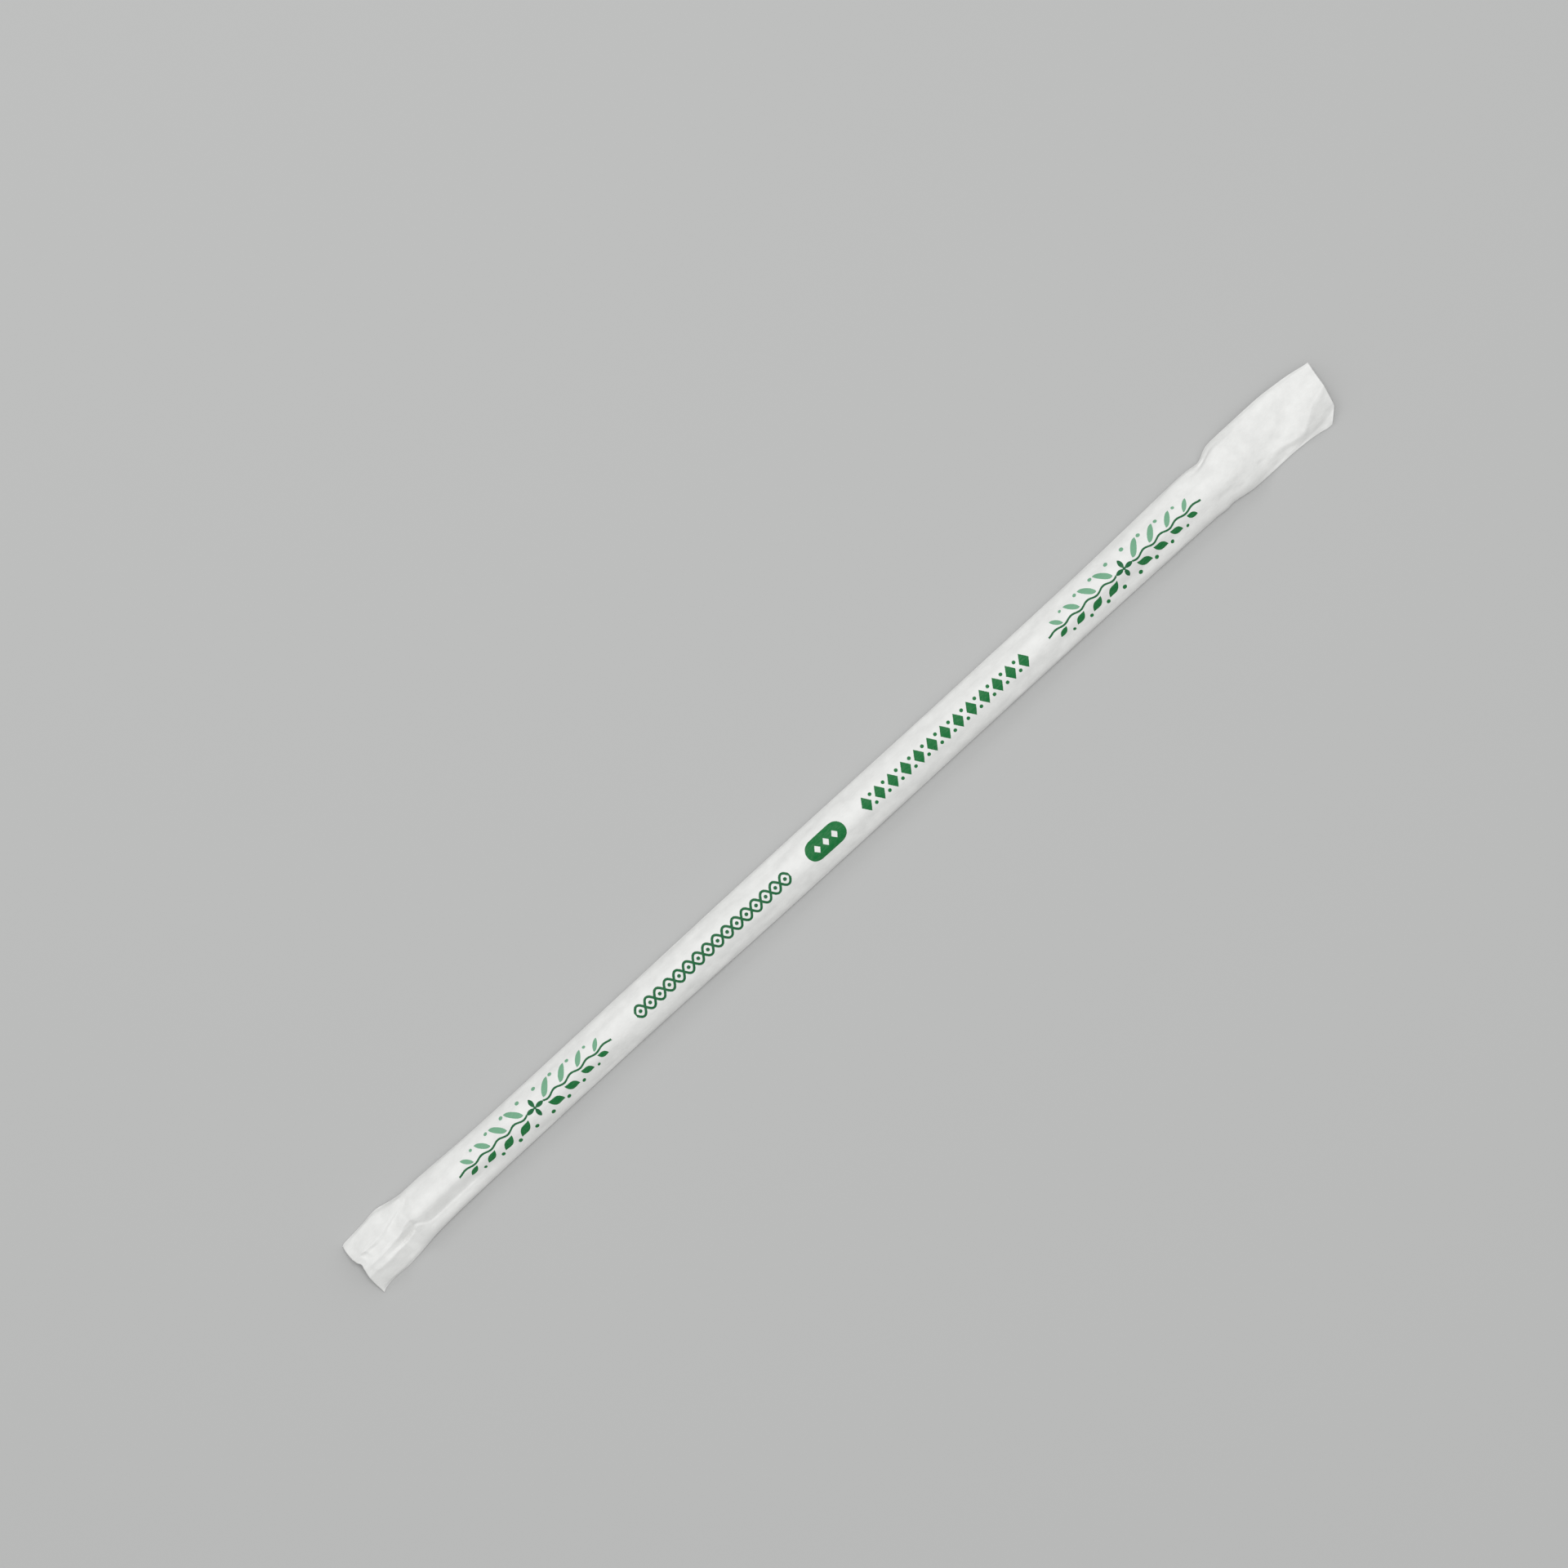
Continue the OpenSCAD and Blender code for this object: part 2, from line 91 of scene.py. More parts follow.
def through_points(table: Table, x: Array) -> Array:
    """Read a smooth curve through the points of a table.

    Args:
        table: Points (x, y) that rise in x.
        x: Places to read the curve at.

    Returns:
        The curve's values, held level past the table's ends.
    """
    xs, ys = np.array(table, float).T
    count = len(xs)
    before = np.maximum(np.arange(count) - 1, 0)
    after = np.minimum(np.arange(count) + 1, count - 1)
    slopes = (ys[after] - ys[before]) / (xs[after] - xs[before])
    i = np.clip(np.searchsorted(xs, x, side="right") - 1, 0, count - 2)
    width = xs[i + 1] - xs[i]
    t = np.clip((x - xs[i]) / width, 0.0, 1.0)
    rise = ys[i + 1] - ys[i]
    lean = slopes[i] * t * (1.0 - t) ** 2 - slopes[i + 1] * t * t * (1.0 - t)
    return ys[i] + rise * t * t * (3.0 - 2.0 * t) + width * lean


class End(Enum):
    """The two flat ends of the sleeve."""

    NEAR = -1
    FAR = 1


@dataclass(frozen=True)
class SleeveSizes:
    """Sizes of the wrapped straw, in millimetres.

    They are the packed solid's, apart from the fold's thickness, the gap between the sheets
    and the lap's edge.
    """

    STRAW_SQUEEZE = 0.2

    straw_length: float = 210.0
    straw_diameter: float = 5.3
    straw_offset: float = 0.25
    lay_flat_width: float = 12.3
    near_flat: float = 15.0
    far_flat: float = 27.4
    crease_height: float = 0.9
    edge_thickness: float = 0.3
    fold_thickness: float = 0.14
    sheet_gap: float = 0.16
    seam_width: float = 5.0
    seam_step: float = 0.12
    seam_edge: float = 0.15
    lap_edge: float = 0.04
    paper_thickness: float = 0.05
    tuck_depth: float = 1.0
    near_fold_height: float = 2.4
    far_pillow_height: float = 1.9
    notch_depth: float = 0.85
    far_slant: float = 1.9
    corner_cut: float = 2.6
    corner_drop: float = 0.8

    @property
    def length(self) -> float:
        """Overall length of the sleeve."""
        return self.near_flat + self.straw_length + self.far_flat

    @property
    def near_end(self) -> float:
        """Place of the near end along X."""
        return -self.length / 2

    @property
    def far_end(self) -> float:
        """Place of the far end along X."""
        return self.length / 2

    @property
    def straw_start(self) -> float:
        """Place of the straw's near end."""
        return self.near_end + self.near_flat

    @property
    def straw_stop(self) -> float:
        """Place of the straw's far end."""
        return self.far_end - self.far_flat

    @property
    def hump_radius(self) -> float:
        """Radius of the straw with a sheet of paper round it."""
        return self.straw_diameter / 2 + self.paper_thickness

    @property
    def flat_half(self) -> float:
        """Half the width of the sleeve where it lies flat."""
        return self.lay_flat_width / 2

    @property
    def body_half(self) -> float:
        """Half the width of the sleeve where the straw rounds it out."""
        return self.flat_half - self.STRAW_SQUEEZE * self.straw_diameter


@dataclass(frozen=True)
class CreasedPaper:
    """Creases of the top sheet by one end, from the right edge to the left.

    Each crease runs through points (out, left, rise). Out is a share of the flat paper,
    counted from the straw's end outwards. Left is a share of the flat half width, to the
    left of the middle. Rise is in millimetres, below 0 in a valley. The paper is straight
    from one crease to the next.
    """

    end: End
    creases: Tuple[Tuple[Tuple[float, float, float], ...], ...]

    def rise_at(self, x: Array, y: Array, sizes: SleeveSizes) -> Array:
        """Return how far the creases raise the paper at places on the sleeve.

        Args:
            x: Places along the sleeve.
            y: Places across it.
            sizes: Sizes of the sleeve.

        Returns:
            Rises in millimetres.
        """
        near = self.end is End.NEAR
        start = sizes.straw_start if near else sizes.straw_stop
        flat = sizes.near_flat if near else sizes.far_flat
        out = self.end.value * (x - start) / flat
        lines = []
        for crease in self.creases:
            outs, lefts, rises = np.array(sorted(crease)).T
            lines.append((np.interp(out, outs, lefts) * sizes.flat_half, np.interp(out, outs, rises)))
        total = np.zeros(np.broadcast(x, y).shape)
        for (low, low_rise), (high, high_rise) in zip(lines, lines[1:]):
            t = (y - low) / np.maximum(high - low, 1e-6)
            total = np.where((t >= 0) & (t < 1), mixed(low_rise, high_rise, t), total)
        return total


NEAR_CREASES = CreasedPaper(
    End.NEAR,
    (
        ((1, -1.6, 0),),
        # Right edge
        ((1.02, -1.2, 0), (0.45, -1.12, 0), (0.12, -0.96, 0), (-0.2, -0.86, 0), (-0.95, -0.84, 0)),
        # Foot of the steep band beside the right edge
        ((1.02, -1.02, 0.05), (0.6, -1, 0.02), (0.42, -0.96, 0.08), (0.33, -0.74, 0.75),
         (0.23, -0.78, 0.15), (0.1, -0.74, 0.1), (0.02, -0.7, 0.1), (-0.08, -0.69, 0.1),
         (-0.35, -0.7, 0.12), (-0.6, -0.68, 0.08), (-0.95, -0.68, 0)),
        # Ridge over that band, round the kink and along the tuck
        ((1.02, -0.45, 1.2), (0.82, -0.46, 2.08), (0.59, -0.46, 2.12), (0.42, -0.43, 1.5),
         (0.3, -0.41, 0.65), (0.22, -0.38, 0.25), (0.13, -0.34, -0.1), (0.07, -0.25, -0.05),
         (0.01, -0.33, 0), (-0.05, -0.43, 0), (-0.2, -0.48, 0.08), (-0.48, -0.47, 0.06),
         (-0.75, -0.46, 0.08), (-1, -0.45, 0)),
        # Valley above it, deepest where the straw ends
        ((1.02, -0.31, 1.05), (0.85, -0.31, 1.86), (0.65, -0.31, 1.9), (0.55, -0.32, 1.62),
         (0.43, -0.34, 0.9), (0.35, -0.34, 0), (0.25, -0.31, -0.75), (0.16, -0.24, -0.9),
         (0.09, -0.15, -0.7), (0.03, -0.19, -0.3), (-0.03, -0.34, -0.3), (-0.1, -0.42, -0.15),
         (-0.28, -0.43, -0.06), (-0.52, -0.43, -0.04), (-0.75, -0.43, -0.02), (-1, -0.42, 0)),
        # Narrow step above the valley, and its upper brow
        ((1.02, -0.15, 1.05), (0.85, -0.2, 1.85), (0.65, -0.2, 1.9), (0.52, -0.17, 1.62),
         (0.4, -0.16, 1.2), (0.34, -0.15, 1.02), (0.27, -0.07, 0.8), (0.19, 0.02, 0.55),
         (0.1, 0.05, 0.05), (0, -0.04, 0), (-0.2, -0.1, 0), (-0.95, -0.15, 0)),
        ((1.02, 0.03, 0.85), (0.88, -0.1, 1.25), (0.65, -0.1, 1.3), (0.52, -0.07, 1.2),
         (0.4, -0.04, 1.1), (0.27, 0.1, 0.72), (0.19, 0.16, 0.5), (0.1, 0.18, 0.05), (-0.2, 0.1, 0),
         (-0.95, 0.1, 0)),
        # Shadow side of the long crease to the left edge
        ((1.02, 0.14, 0.95), (0.9, 0.12, 1.4), (0.86, 0.15, 1.3), (0.82, 0.2, 1.55),
         (0.78, 0.17, 1.9), (0.49, 0.16, 1.9), (0.39, 0.29, 1.4), (0.25, 0.4, 0.55),
         (0.12, 0.47, 0.05), (0, 0.54, -0.3), (-0.07, 0.64, -0.15), (-0.35, 0.7, 0),
         (-0.95, 0.74, 0)),
        # The long crease itself
        ((1.02, 0.33, 1.25), (0.84, 0.28, 2.3), (0.65, 0.26, 2.55), (0.49, 0.31, 2.45),
         (0.39, 0.39, 1.95), (0.25, 0.47, 1.05), (0.12, 0.54, 0.5), (0.02, 0.63, 0.45),
         (-0.04, 0.71, 0), (-0.35, 0.76, 0), (-0.95, 0.78, 0)),
        # Outer side of the facet that ends in a point
        ((1.02, 0.77, 0.4), (0.72, 0.83, 0.9), (0.48, 0.9, 0.85), (0.35, 0.85, 0.75),
         (0.23, 0.8, 1.1), (0.12, 0.79, 1.4), (0.03, 0.77, 1.4), (-0.04, 0.73, 0),
         (-0.35, 0.79, 0), (-0.95, 0.8, 0)),
        # Left edge
        ((1.02, 0.88, 0), (0.72, 0.92, 0.05), (0.45, 1, 0.05), (0.23, 0.91, 0), (-0.05, 0.84, 0),
         (-0.95, 0.85, 0)),
        ((1, 1.6, 0),),
    ),
)

FAR_CREASES = CreasedPaper(
    End.FAR,
    (
        ((1, -1.6, 0),),
        # Right edge
        ((-0.25, -0.84, 0), (-0.05, -0.84, 0), (0.12, -0.93, 0), (0.5, -0.95, 0), (0.75, -1.15, 0),
         (0.88, -1.22, 0), (1.02, -1.25, 0)),
        # Foot of the short wrinkle and of the bent corner
        ((-0.25, -0.66, 0), (-0.1, -0.65, 0.08), (0.15, -0.74, 0.1), (0.3, -0.72, 0.1),
         (0.37, -0.66, 0), (0.41, -0.65, -0.06), (0.52, -0.74, -0.06), (0.6, -0.82, 0.1),
         (0.66, -0.8, 0.55), (0.74, -0.74, 1.2), (0.85, -0.66, 1.4), (0.95, -0.62, 1.35),
         (1.02, -0.62, 1.2)),
        # Short wrinkle, which runs on into the crease of the bent corner
        ((-0.25, -0.5, 0), (-0.15, -0.47, -0.03), (-0.08, -0.44, -0.08), (0, -0.46, -0.08),
         (0.05, -0.58, 0), (0.15, -0.62, 0.08), (0.23, -0.55, 0.05), (0.26, -0.44, -0.1),
         (0.29, -0.45, -0.1), (0.33, -0.5, 0.05), (0.38, -0.48, 0.06), (0.41, -0.5, 0.2),
         (0.48, -0.57, 0.24), (0.61, -0.7, 0.45), (0.65, -0.67, 0.95), (0.74, -0.42, 1.75),
         (0.81, -0.21, 1.95), (0.95, -0.06, 1.85), (1.02, 0, 1.6)),
        # Wrinkle by the straw's end, and the pit past it
        ((-0.25, -0.4, 0), (-0.15, -0.36, 0), (-0.07, -0.33, 0.1), (0.03, -0.36, 0.12),
         (0.06, -0.47, 0.06), (0.15, -0.5, 0.06), (0.23, -0.42, 0.05), (0.26, -0.36, 0.12),
         (0.29, -0.37, 0.12), (0.33, -0.42, 0.04), (0.48, -0.45, 0.1), (0.6, -0.52, 0.3),
         (0.66, -0.45, 0.7), (0.74, -0.2, 1.2), (0.81, -0.04, 1.3), (0.95, 0.09, 1.3),
         (1.02, 0.14, 1.15)),
        # Two soft creases across the pillow
        ((-0.25, -0.12, 0), (0.16, -0.07, 0), (0.32, -0.2, -0.02), (0.46, -0.3, -0.02),
         (0.55, -0.28, 0), (0.64, 0.16, 0), (0.72, 0.57, 0.1), (0.8, 0.3, 0.35), (0.87, 0.24, 0.6),
         (0.95, 0.28, 0.7), (1.02, 0.3, 0.65)),
        ((-0.25, 0.3, 0), (-0.1, 0.35, 0), (0.1, 0.5, 0.05), (0.3, 0.3, 0.06), (0.42, 0, 0.06),
         (0.5, -0.16, 0.12), (0.58, 0.33, 0.25), (0.66, 0.73, 0.25), (0.8, 0.7, 0.2),
         (1.02, 0.6, 0.2)),
        # Shoulder, valley and rim beside the left edge
        ((-0.25, 0.55, 0), (-0.09, 0.63, 0.1), (-0.02, 0.73, 0.25), (0.05, 0.82, 0.6),
         (0.12, 0.85, 0.75), (0.25, 0.86, 0.75), (0.41, 0.9, 0.6), (0.66, 0.93, 0.4),
         (0.85, 0.88, 0.3), (1.02, 0.78, 0.15)),
        ((-0.25, 0.7, 0), (-0.11, 0.69, -0.08), (-0.06, 0.74, -0.45), (0, 0.81, -0.3),
         (0.05, 0.9, 0.2), (0.12, 0.95, 0.4), (0.3, 0.97, 0.35), (0.42, 1, 0.3), (0.66, 1, 0.2),
         (0.85, 0.94, 0.15), (1.02, 0.84, 0.05)),
        ((-0.25, 0.8, 0), (-0.1, 0.78, 0.1), (-0.03, 0.86, 0.25), (0.05, 1, 0.1),
         (0.12, 1.03, 0.1), (0.3, 1.05, 0.1), (0.66, 1.04, 0.05), (1.02, 0.9, 0)),
        ((1, 1.6, 0),),
    ),
)


class SleeveForm:
    """The surface of the paper sleeve, worked out place by place.

    A place is given along the sleeve by s, in millimetres, and across it by a share of
    the way from the straw's axis to a side edge, or by y on the lower sheet.
    """

    LEFT_NEAR: Table = (
        (0, 0), (0.04, 0.25), (0.19, 0.42), (0.4, 0.67), (0.56, 0.95), (0.65, 0.97), (0.76, 0.67),
        (0.88, 0.3), (1, 0.05), (1.33, 0.02),
    )
    LEFT_MIDDLE: Table = ((-0.8, -0.35), (-0.45, -0.25), (-0.1, -0.1), (0.35, -0.15), (0.7, 0))
    LEFT_FAR: Table = (
        (1.25, 0.5), (1.13, 0.4), (1.06, 0.15), (1.02, 0.4), (0.97, 1.05), (0.92, 1.45), (0.84, 1.55),
        (0.44, 1.55), (0.31, 1.3), (0.16, 0.85), (0.04, 0.25), (0, 0.1),
    )
    RIGHT_NEAR: Table = (
        (0, 1.6), (0.07, 1.2), (0.23, 0.9), (0.47, 1), (0.73, 0.7), (0.97, 0.25), (1.27, 0),
        (1.67, -0.15),
    )
    RIGHT_MIDDLE: Table = ((-0.75, -0.3), (-0.45, -0.45), (-0.1, -0.2), (0.35, -0.3), (0.7, -0.35))
    RIGHT_FAR: Table = (
        (1.2, -0.18), (1.12, 0), (1.05, -0.1), (0.95, 0.29), (0.88, 0.55), (0.72, 0.65),
        (0.5, 0.65), (0.365, 0.86), (0.25, 1.22), (0.17, 1.52), (0, 1.6),
    )
    TUCK_RUN: Table = (
        (0, 0.3), (0.01, 1), (0.06, 0.85), (0.1, 0.12), (0.3, 0), (0.72, 0), (0.8, 0.12),
        (0.86, 0.5), (0.93, 0.45), (0.97, 0.15), (1, 0.1),
    )
    TUCK_FORM: Table = (
        (0, 0), (0.1, 0.08), (0.2, 0.3), (0.3, 0.62), (0.4, 0.88), (0.48, 0.99), (0.53, 1),
        (0.555, 0.96), (0.6, 0.82), (0.68, 0.62), (0.8, 0.28), (0.93, 0.04), (1, 0),
    )
    NEAR_SHAPE: Table = (
        (0, 0.1), (0.17, 0.15), (0.34, 0.35), (0.5, 0.85), (0.58, 1), (0.66, 0.4), (0.86, 0),
        (1, 0.1),
    )
    EDGE_BAND = 0.06
    ROUNDNESS = 0.6
    FOLD_LINE = -0.1
    LONG_LEAD = 2.0
    SHORT_LEAD = 1.0
    NEAR_FLATTENING = 0.6
    FAR_FLATTENING = 0.44
    NEAR_LIFTING = 0.4
    FAR_LIFTING = 0.5
    NEAR_SETTLING = 1.3
    FAR_SETTLING = 2.4
    LEAST_LIFT = -0.5
    UNDER_CURVE = 1.5
    FAR_HANG = 0.8
    PILLOW_SINK = 0.45
    CORNER_REACH = 4.5
    CORNER_CREASE = ((0.64, -0.72), (0.95, -0.1))
    CORNER_SHARE = 0.2
    INSET_RUN = 9.0
    CLOSING_RUN = 6.0
    LAP_SHARE = 0.6

    def __init__(self, sizes: SleeveSizes) -> None:
        """Join the tables of each side edge.

        Args:
            sizes: Sizes of the sleeve.
        """
        self.sizes = sizes
        self.left_side = self._whole_side(self.LEFT_NEAR, self.LEFT_MIDDLE, self.LEFT_FAR)
        self.right_side = self._whole_side(self.RIGHT_NEAR, self.RIGHT_MIDDLE, self.RIGHT_FAR)

    def _whole_side(self, near: Table, middle: Table, far: Table) -> Table:
        """Return one table of spreads for a whole side, by place along X."""
        z = self.sizes
        centre = (z.straw_start + z.straw_stop) / 2
        return (
            *((z.near_end + x * z.near_flat, y) for x, y in near),
            *((centre + x * z.straw_length / 2, y) for x, y in middle),
            *((z.far_end - x * z.far_flat, y) for x, y in far),
        )

    def edges(self, s: Array) -> Tuple[Array, Array]:
        """Return where the left and the right edge lie across the sleeve at s."""
        z = self.sizes
        spare = z.flat_half - z.body_half
        left = z.body_half + spare * through_points(self.left_side, s)
        right = -z.body_half - spare * through_points(self.right_side, s)
        return left, right

    def past_straw(self, s: Array) -> Array:
        """Return how far a place is past the nearer end of the straw, below 0 beside it."""
        return np.where(s < 0, self.sizes.straw_start - s, s - self.sizes.straw_stop)

    def flatness(self, s: Array) -> Array:
        """Return how flat the paper is: 0 beside the straw and 1 towards the ends."""
        past, z = self.past_straw(s), self.sizes
        near = (past + self.LONG_LEAD) / (self.NEAR_FLATTENING * z.near_flat)
        far = (past + self.SHORT_LEAD) / (self.FAR_FLATTENING * z.far_flat)
        return eased(np.where(s < 0, near, far))

    def hump_share(self, s: Array) -> Array:
        """Return the share of the straw's hump that is left at s."""
        settle = np.where(s < 0, self.NEAR_SETTLING, self.FAR_SETTLING) * self.sizes.straw_diameter
        return 1 - eased((self.past_straw(s) + self.SHORT_LEAD) / settle)

    def foot(self, s: Array) -> Array:
        """Return the height of a crease's top above the shared lift."""
        z = self.sizes
        return z.edge_thickness + (z.crease_height - z.edge_thickness) * (1 - self.flatness(s))

    def tight(self, t: Array, reach: Array, foot: Array) -> Array:
        """Return the height of paper drawn tight from a crease over the straw.

        Args:
            t: Distance from the straw's axis.
            reach: Distance of the crease from the axis.
            foot: Height of the crease.

        Returns:
            Heights in millimetres.
        """
        r = self.sizes.hump_radius
        drop = r - foot
        away = np.hypot(reach, drop)
        turn = np.arccos(r / away) - np.arctan2(drop, reach)
        touch, touch_z = r * np.cos(turn), r + r * np.sin(turn)
        arc = r + np.sqrt(np.maximum(r * r - t * t, 0.0))
        drawn = np.where(t < touch, arc, mixed(touch_z, foot, (t - touch) / (reach - touch)))
        round_side = np.sqrt(np.maximum(1.0 - (t / reach) ** 2, 0.0))
        return mixed(drawn, mixed(foot, 2 * r, round_side), self.ROUNDNESS)

    def tuck(self, s: Array, share: Array) -> Array:
        """Return how deep the paper is tucked in beside the straw, on its right."""
        z = self.sizes
        run = through_points(self.TUCK_RUN, (s - z.straw_start) / z.straw_length)
        return z.tuck_depth * run * through_points(self.TUCK_FORM, share)

    def shared_lift(self, s: Array, y: Array, left: Array, right: Array) -> Array:
        """Return the height that both sheets share: the ends hang just above the floor."""
        z, past = self.sizes, self.past_straw(s)
        line = self.FOLD_LINE * z.flat_half
        down = np.where(y > line, (y - line) / (left - line), (line - y) / (line - right))
        fold = eased((past + self.SHORT_LEAD) / (self.NEAR_LIFTING * z.near_flat))
        near = z.near_fold_height * fold * np.clip(1 - down, 0, 1)
        across = (2 * y - left - right) / (left - right)
        rise = eased((past + self.LONG_LEAD) / (self.FAR_LIFTING * z.far_flat))
        rise = rise * (1 - self.PILLOW_SINK * past / z.far_flat)
        hang = self.FAR_HANG * self.flatness(s) * np.clip(0.5 + 0.5 * across, 0.0, 1.0)
        pillow = hang + z.far_pillow_height * (1 - across**2) * rise
        far = np.maximum(0.0, pillow - z.corner_drop * self._past_corner(s, y))
        return np.where(s < 0, near, far)

    def _past_corner(self, s: Array, y: Array) -> Array:
        """Return how far a place lies past the crease of the bent corner, from 0 to 1."""
        z = self.sizes
        (ax, ay), (bx, by) = (
            (z.straw_stop + out * z.far_flat, left * z.flat_half) for out, left in self.CORNER_CREASE
        )
        size = math.hypot(bx - ax, by - ay)
        past = ((by - ay) * (s - ax) - (bx - ax) * (y - ay)) / size
        return np.clip(past / self.CORNER_REACH, 0.0, 1.0)

    def top(self, s: Array, signed_share: Array) -> Tuple[Array, Array, Array]:
        """Return the top sheet's points.

        Args:
            s: Places along the sleeve.
            signed_share: Shares of the way to an edge, above 0 to the left.

        Returns:
            X, Y and Z in millimetres.
        """
        left, right = self.edges(s)
        z = self.sizes
        share = np.abs(signed_share)
        reach = np.where(signed_share > 0, left - z.straw_offset, z.straw_offset - right)
        y = z.straw_offset + signed_share * reach
        foot = self.foot(s)
        hump = self.tight(share * reach, reach, foot) - foot
        dip = np.where(signed_share < 0, self.tuck(s, share), 0.0)
        raised = np.maximum(0.0, self.hump_share(s) * (hump - dip))
        inside = np.clip((1 - share) / self.EDGE_BAND, 0.0, 1.0)
        creased = NEAR_CREASES.rise_at(s, y, z) + FAR_CREASES.rise_at(s, y, z)
        lift = self.shared_lift(s, y, left, right)
        height = foot + lift + np.maximum(raised + creased * inside, self.LEAST_LIFT * lift)
        return self.drawn_in(s, y, left, right), y, height

    def lower_places(self, s: Array, counts: Tuple[int, int, int, int]) -> Array:
        """Return the lower sheet's columns from right to left, with some at its corners.

        Args:
            s: Places along the sleeve, one to a row.
            counts: Columns from the right edge to the corner cut, from there to the seam,
                across the seam, and from there to the left edge.

        Returns:
            Places across the sleeve, one row to each place along it.
        """
        left, right = self.edges(s)
        z = self.sizes
        half = z.seam_width / 2
        marks = (
            right,
            mixed(right, left, self.CORNER_SHARE),
            np.full_like(right, z.straw_offset - half - z.lap_edge),
            np.full_like(right, z.straw_offset - half),
            np.full_like(right, z.straw_offset + half),
            left,
        )
        columns = (counts[0], counts[1], 1, counts[2], counts[3])
        spans = [
            mixed(a, b, np.arange(count)[None, :] / count)
            for a, b, count in zip(marks, marks[1:], columns)
        ]
        return np.concatenate([*spans, left], axis=1)

    def under(self, s: Array, y: Array) -> Array:
        """Return the height of the lower sheet: level under the seam, rising to the creases."""
        left, right = self.edges(s)
        z = self.sizes
        away, off_seam = self._off_seam(y)
        reach = np.where(y > z.straw_offset, left - z.straw_offset, z.straw_offset - right)
        rise = np.clip((away - z.seam_edge) / (reach - z.seam_width / 2 - z.seam_edge), 0.0, 1.0)
        beside = mixed(z.seam_step * off_seam, self.foot(s) - z.fold_thickness, rise**self.UNDER_CURVE)
        return self.shared_lift(s, y, left, right) + beside

    def lap(self, y: Array) -> Array:
        """Return how far the lower sheet stands out where its edges are glued together."""
        return self.LAP_SHARE * self.sizes.seam_step * (1 - self._off_seam(y)[1])

    def _off_seam(self, y: Array) -> Tuple[Array, Array]:
        """Return how far past the seam a place lies, and how far down its stepped border."""
        z = self.sizes
        away = np.abs(y - z.straw_offset) - z.seam_width / 2
        border = np.where(y > z.straw_offset, z.seam_edge, z.lap_edge)
        return away, np.clip(away / border, 0.0, 1.0)

    def drawn_in(self, s: Array, y: Array, left: Array, right: Array) -> Array:
        """Return X with the notch of the near edge and the slant of the far edge."""
        z = self.sizes
        across = (y - right) / (left - right)
        near = z.notch_depth * through_points(self.NEAR_SHAPE, across)
        corner = z.far_slant + z.corner_cut * (1 - across / self.CORNER_SHARE)
        straight = z.far_slant * (1 - across) / (1 - self.CORNER_SHARE)
        far = np.where(across < self.CORNER_SHARE, corner, straight)
        near_pull = np.clip(1 - (s - z.near_end) / self.INSET_RUN, 0.0, 1.0) ** 2
        far_pull = np.clip(1 - (z.far_end - s) / self.INSET_RUN, 0.0, 1.0) ** 2
        return s + near * near_pull - far * far_pull

    def closing(self, s: Array) -> Array:
        """Return how near the sheets are to meeting: 1 at the end edges, 0 further in."""
        z = self.sizes
        inward = np.minimum(s - z.near_end, z.far_end - s)
        return 1 - eased(inward / self.CLOSING_RUN)


def math_node(operation: str, summary: str, reflected: bool = False) -> Callable[..., "Signal"]:
    """Return a method of Signal that adds a Math node.

    Args:
        operation: The node's operation.
        summary: What the method returns, for its docstring.
        reflected: Whether the signal is the second of the two values.

    Returns:
        The method.
    """

    def method(self: "Signal", *others: "Operand") -> "Signal":
        values = (*others, self) if reflected else (self, *others)
        settings = {"operation": operation}
        node = self.graph.node("ShaderNodeMath", settings, dict(enumerate(values)))
        return Signal(self.graph, node.outputs[0])

    method.__doc__ = summary
    return method


class Signal:
    """A value of a node tree. Arithmetic on it adds Math nodes."""

    def __init__(self, graph: "Graph", socket: bpy.types.NodeSocket) -> None:
        """Wrap an output socket of a graph."""
        self.graph = graph
        self.socket = socket

    __add__ = __radd__ = math_node("ADD", "Return this value plus another.")
    __sub__ = math_node("SUBTRACT", "Return this value less another.")
    __rsub__ = math_node("SUBTRACT", "Return another value less this one.", reflected=True)
    __mul__ = __rmul__ = math_node("MULTIPLY", "Return this value times another.")
    __truediv__ = math_node("DIVIDE", "Return this value over another.")
    __abs__ = math_node("ABSOLUTE", "Return this value without its sign.")
    __gt__ = math_node("GREATER_THAN", "Return 1 where this value is above another, else 0.")
    least = math_node("MINIMUM", "Return the smaller of this value and another.")
    most = math_node("MAXIMUM", "Return the larger of this value and another.")
    rooted = math_node("SQRT", "Return the square root of this value.")
    sine = math_node("SINE", "Return the sine of this value, in radians.")
    cosine = math_node("COSINE", "Return the cosine of this value, in radians.")
    remainder = math_node("FLOORED_MODULO", "Return this value less the whole periods in it.")

    def held(self) -> "Signal":
        """Return this value held between 0 and 1."""
        return self.most(0.0).least(1.0)


Operand = Union[Signal, float]


def placed(name: str, data: bpy.types.ID) -> bpy.types.Object:
    """Add an object to the scene, at the origin."""
    made = bpy.data.objects.new(name, data)
    bpy.context.scene.collection.objects.link(made)
    return made


def distance(x: Signal, y: Signal) -> Signal:
    """Return the length of a vector in the sheet."""
    return (x * x + y * y).rooted()


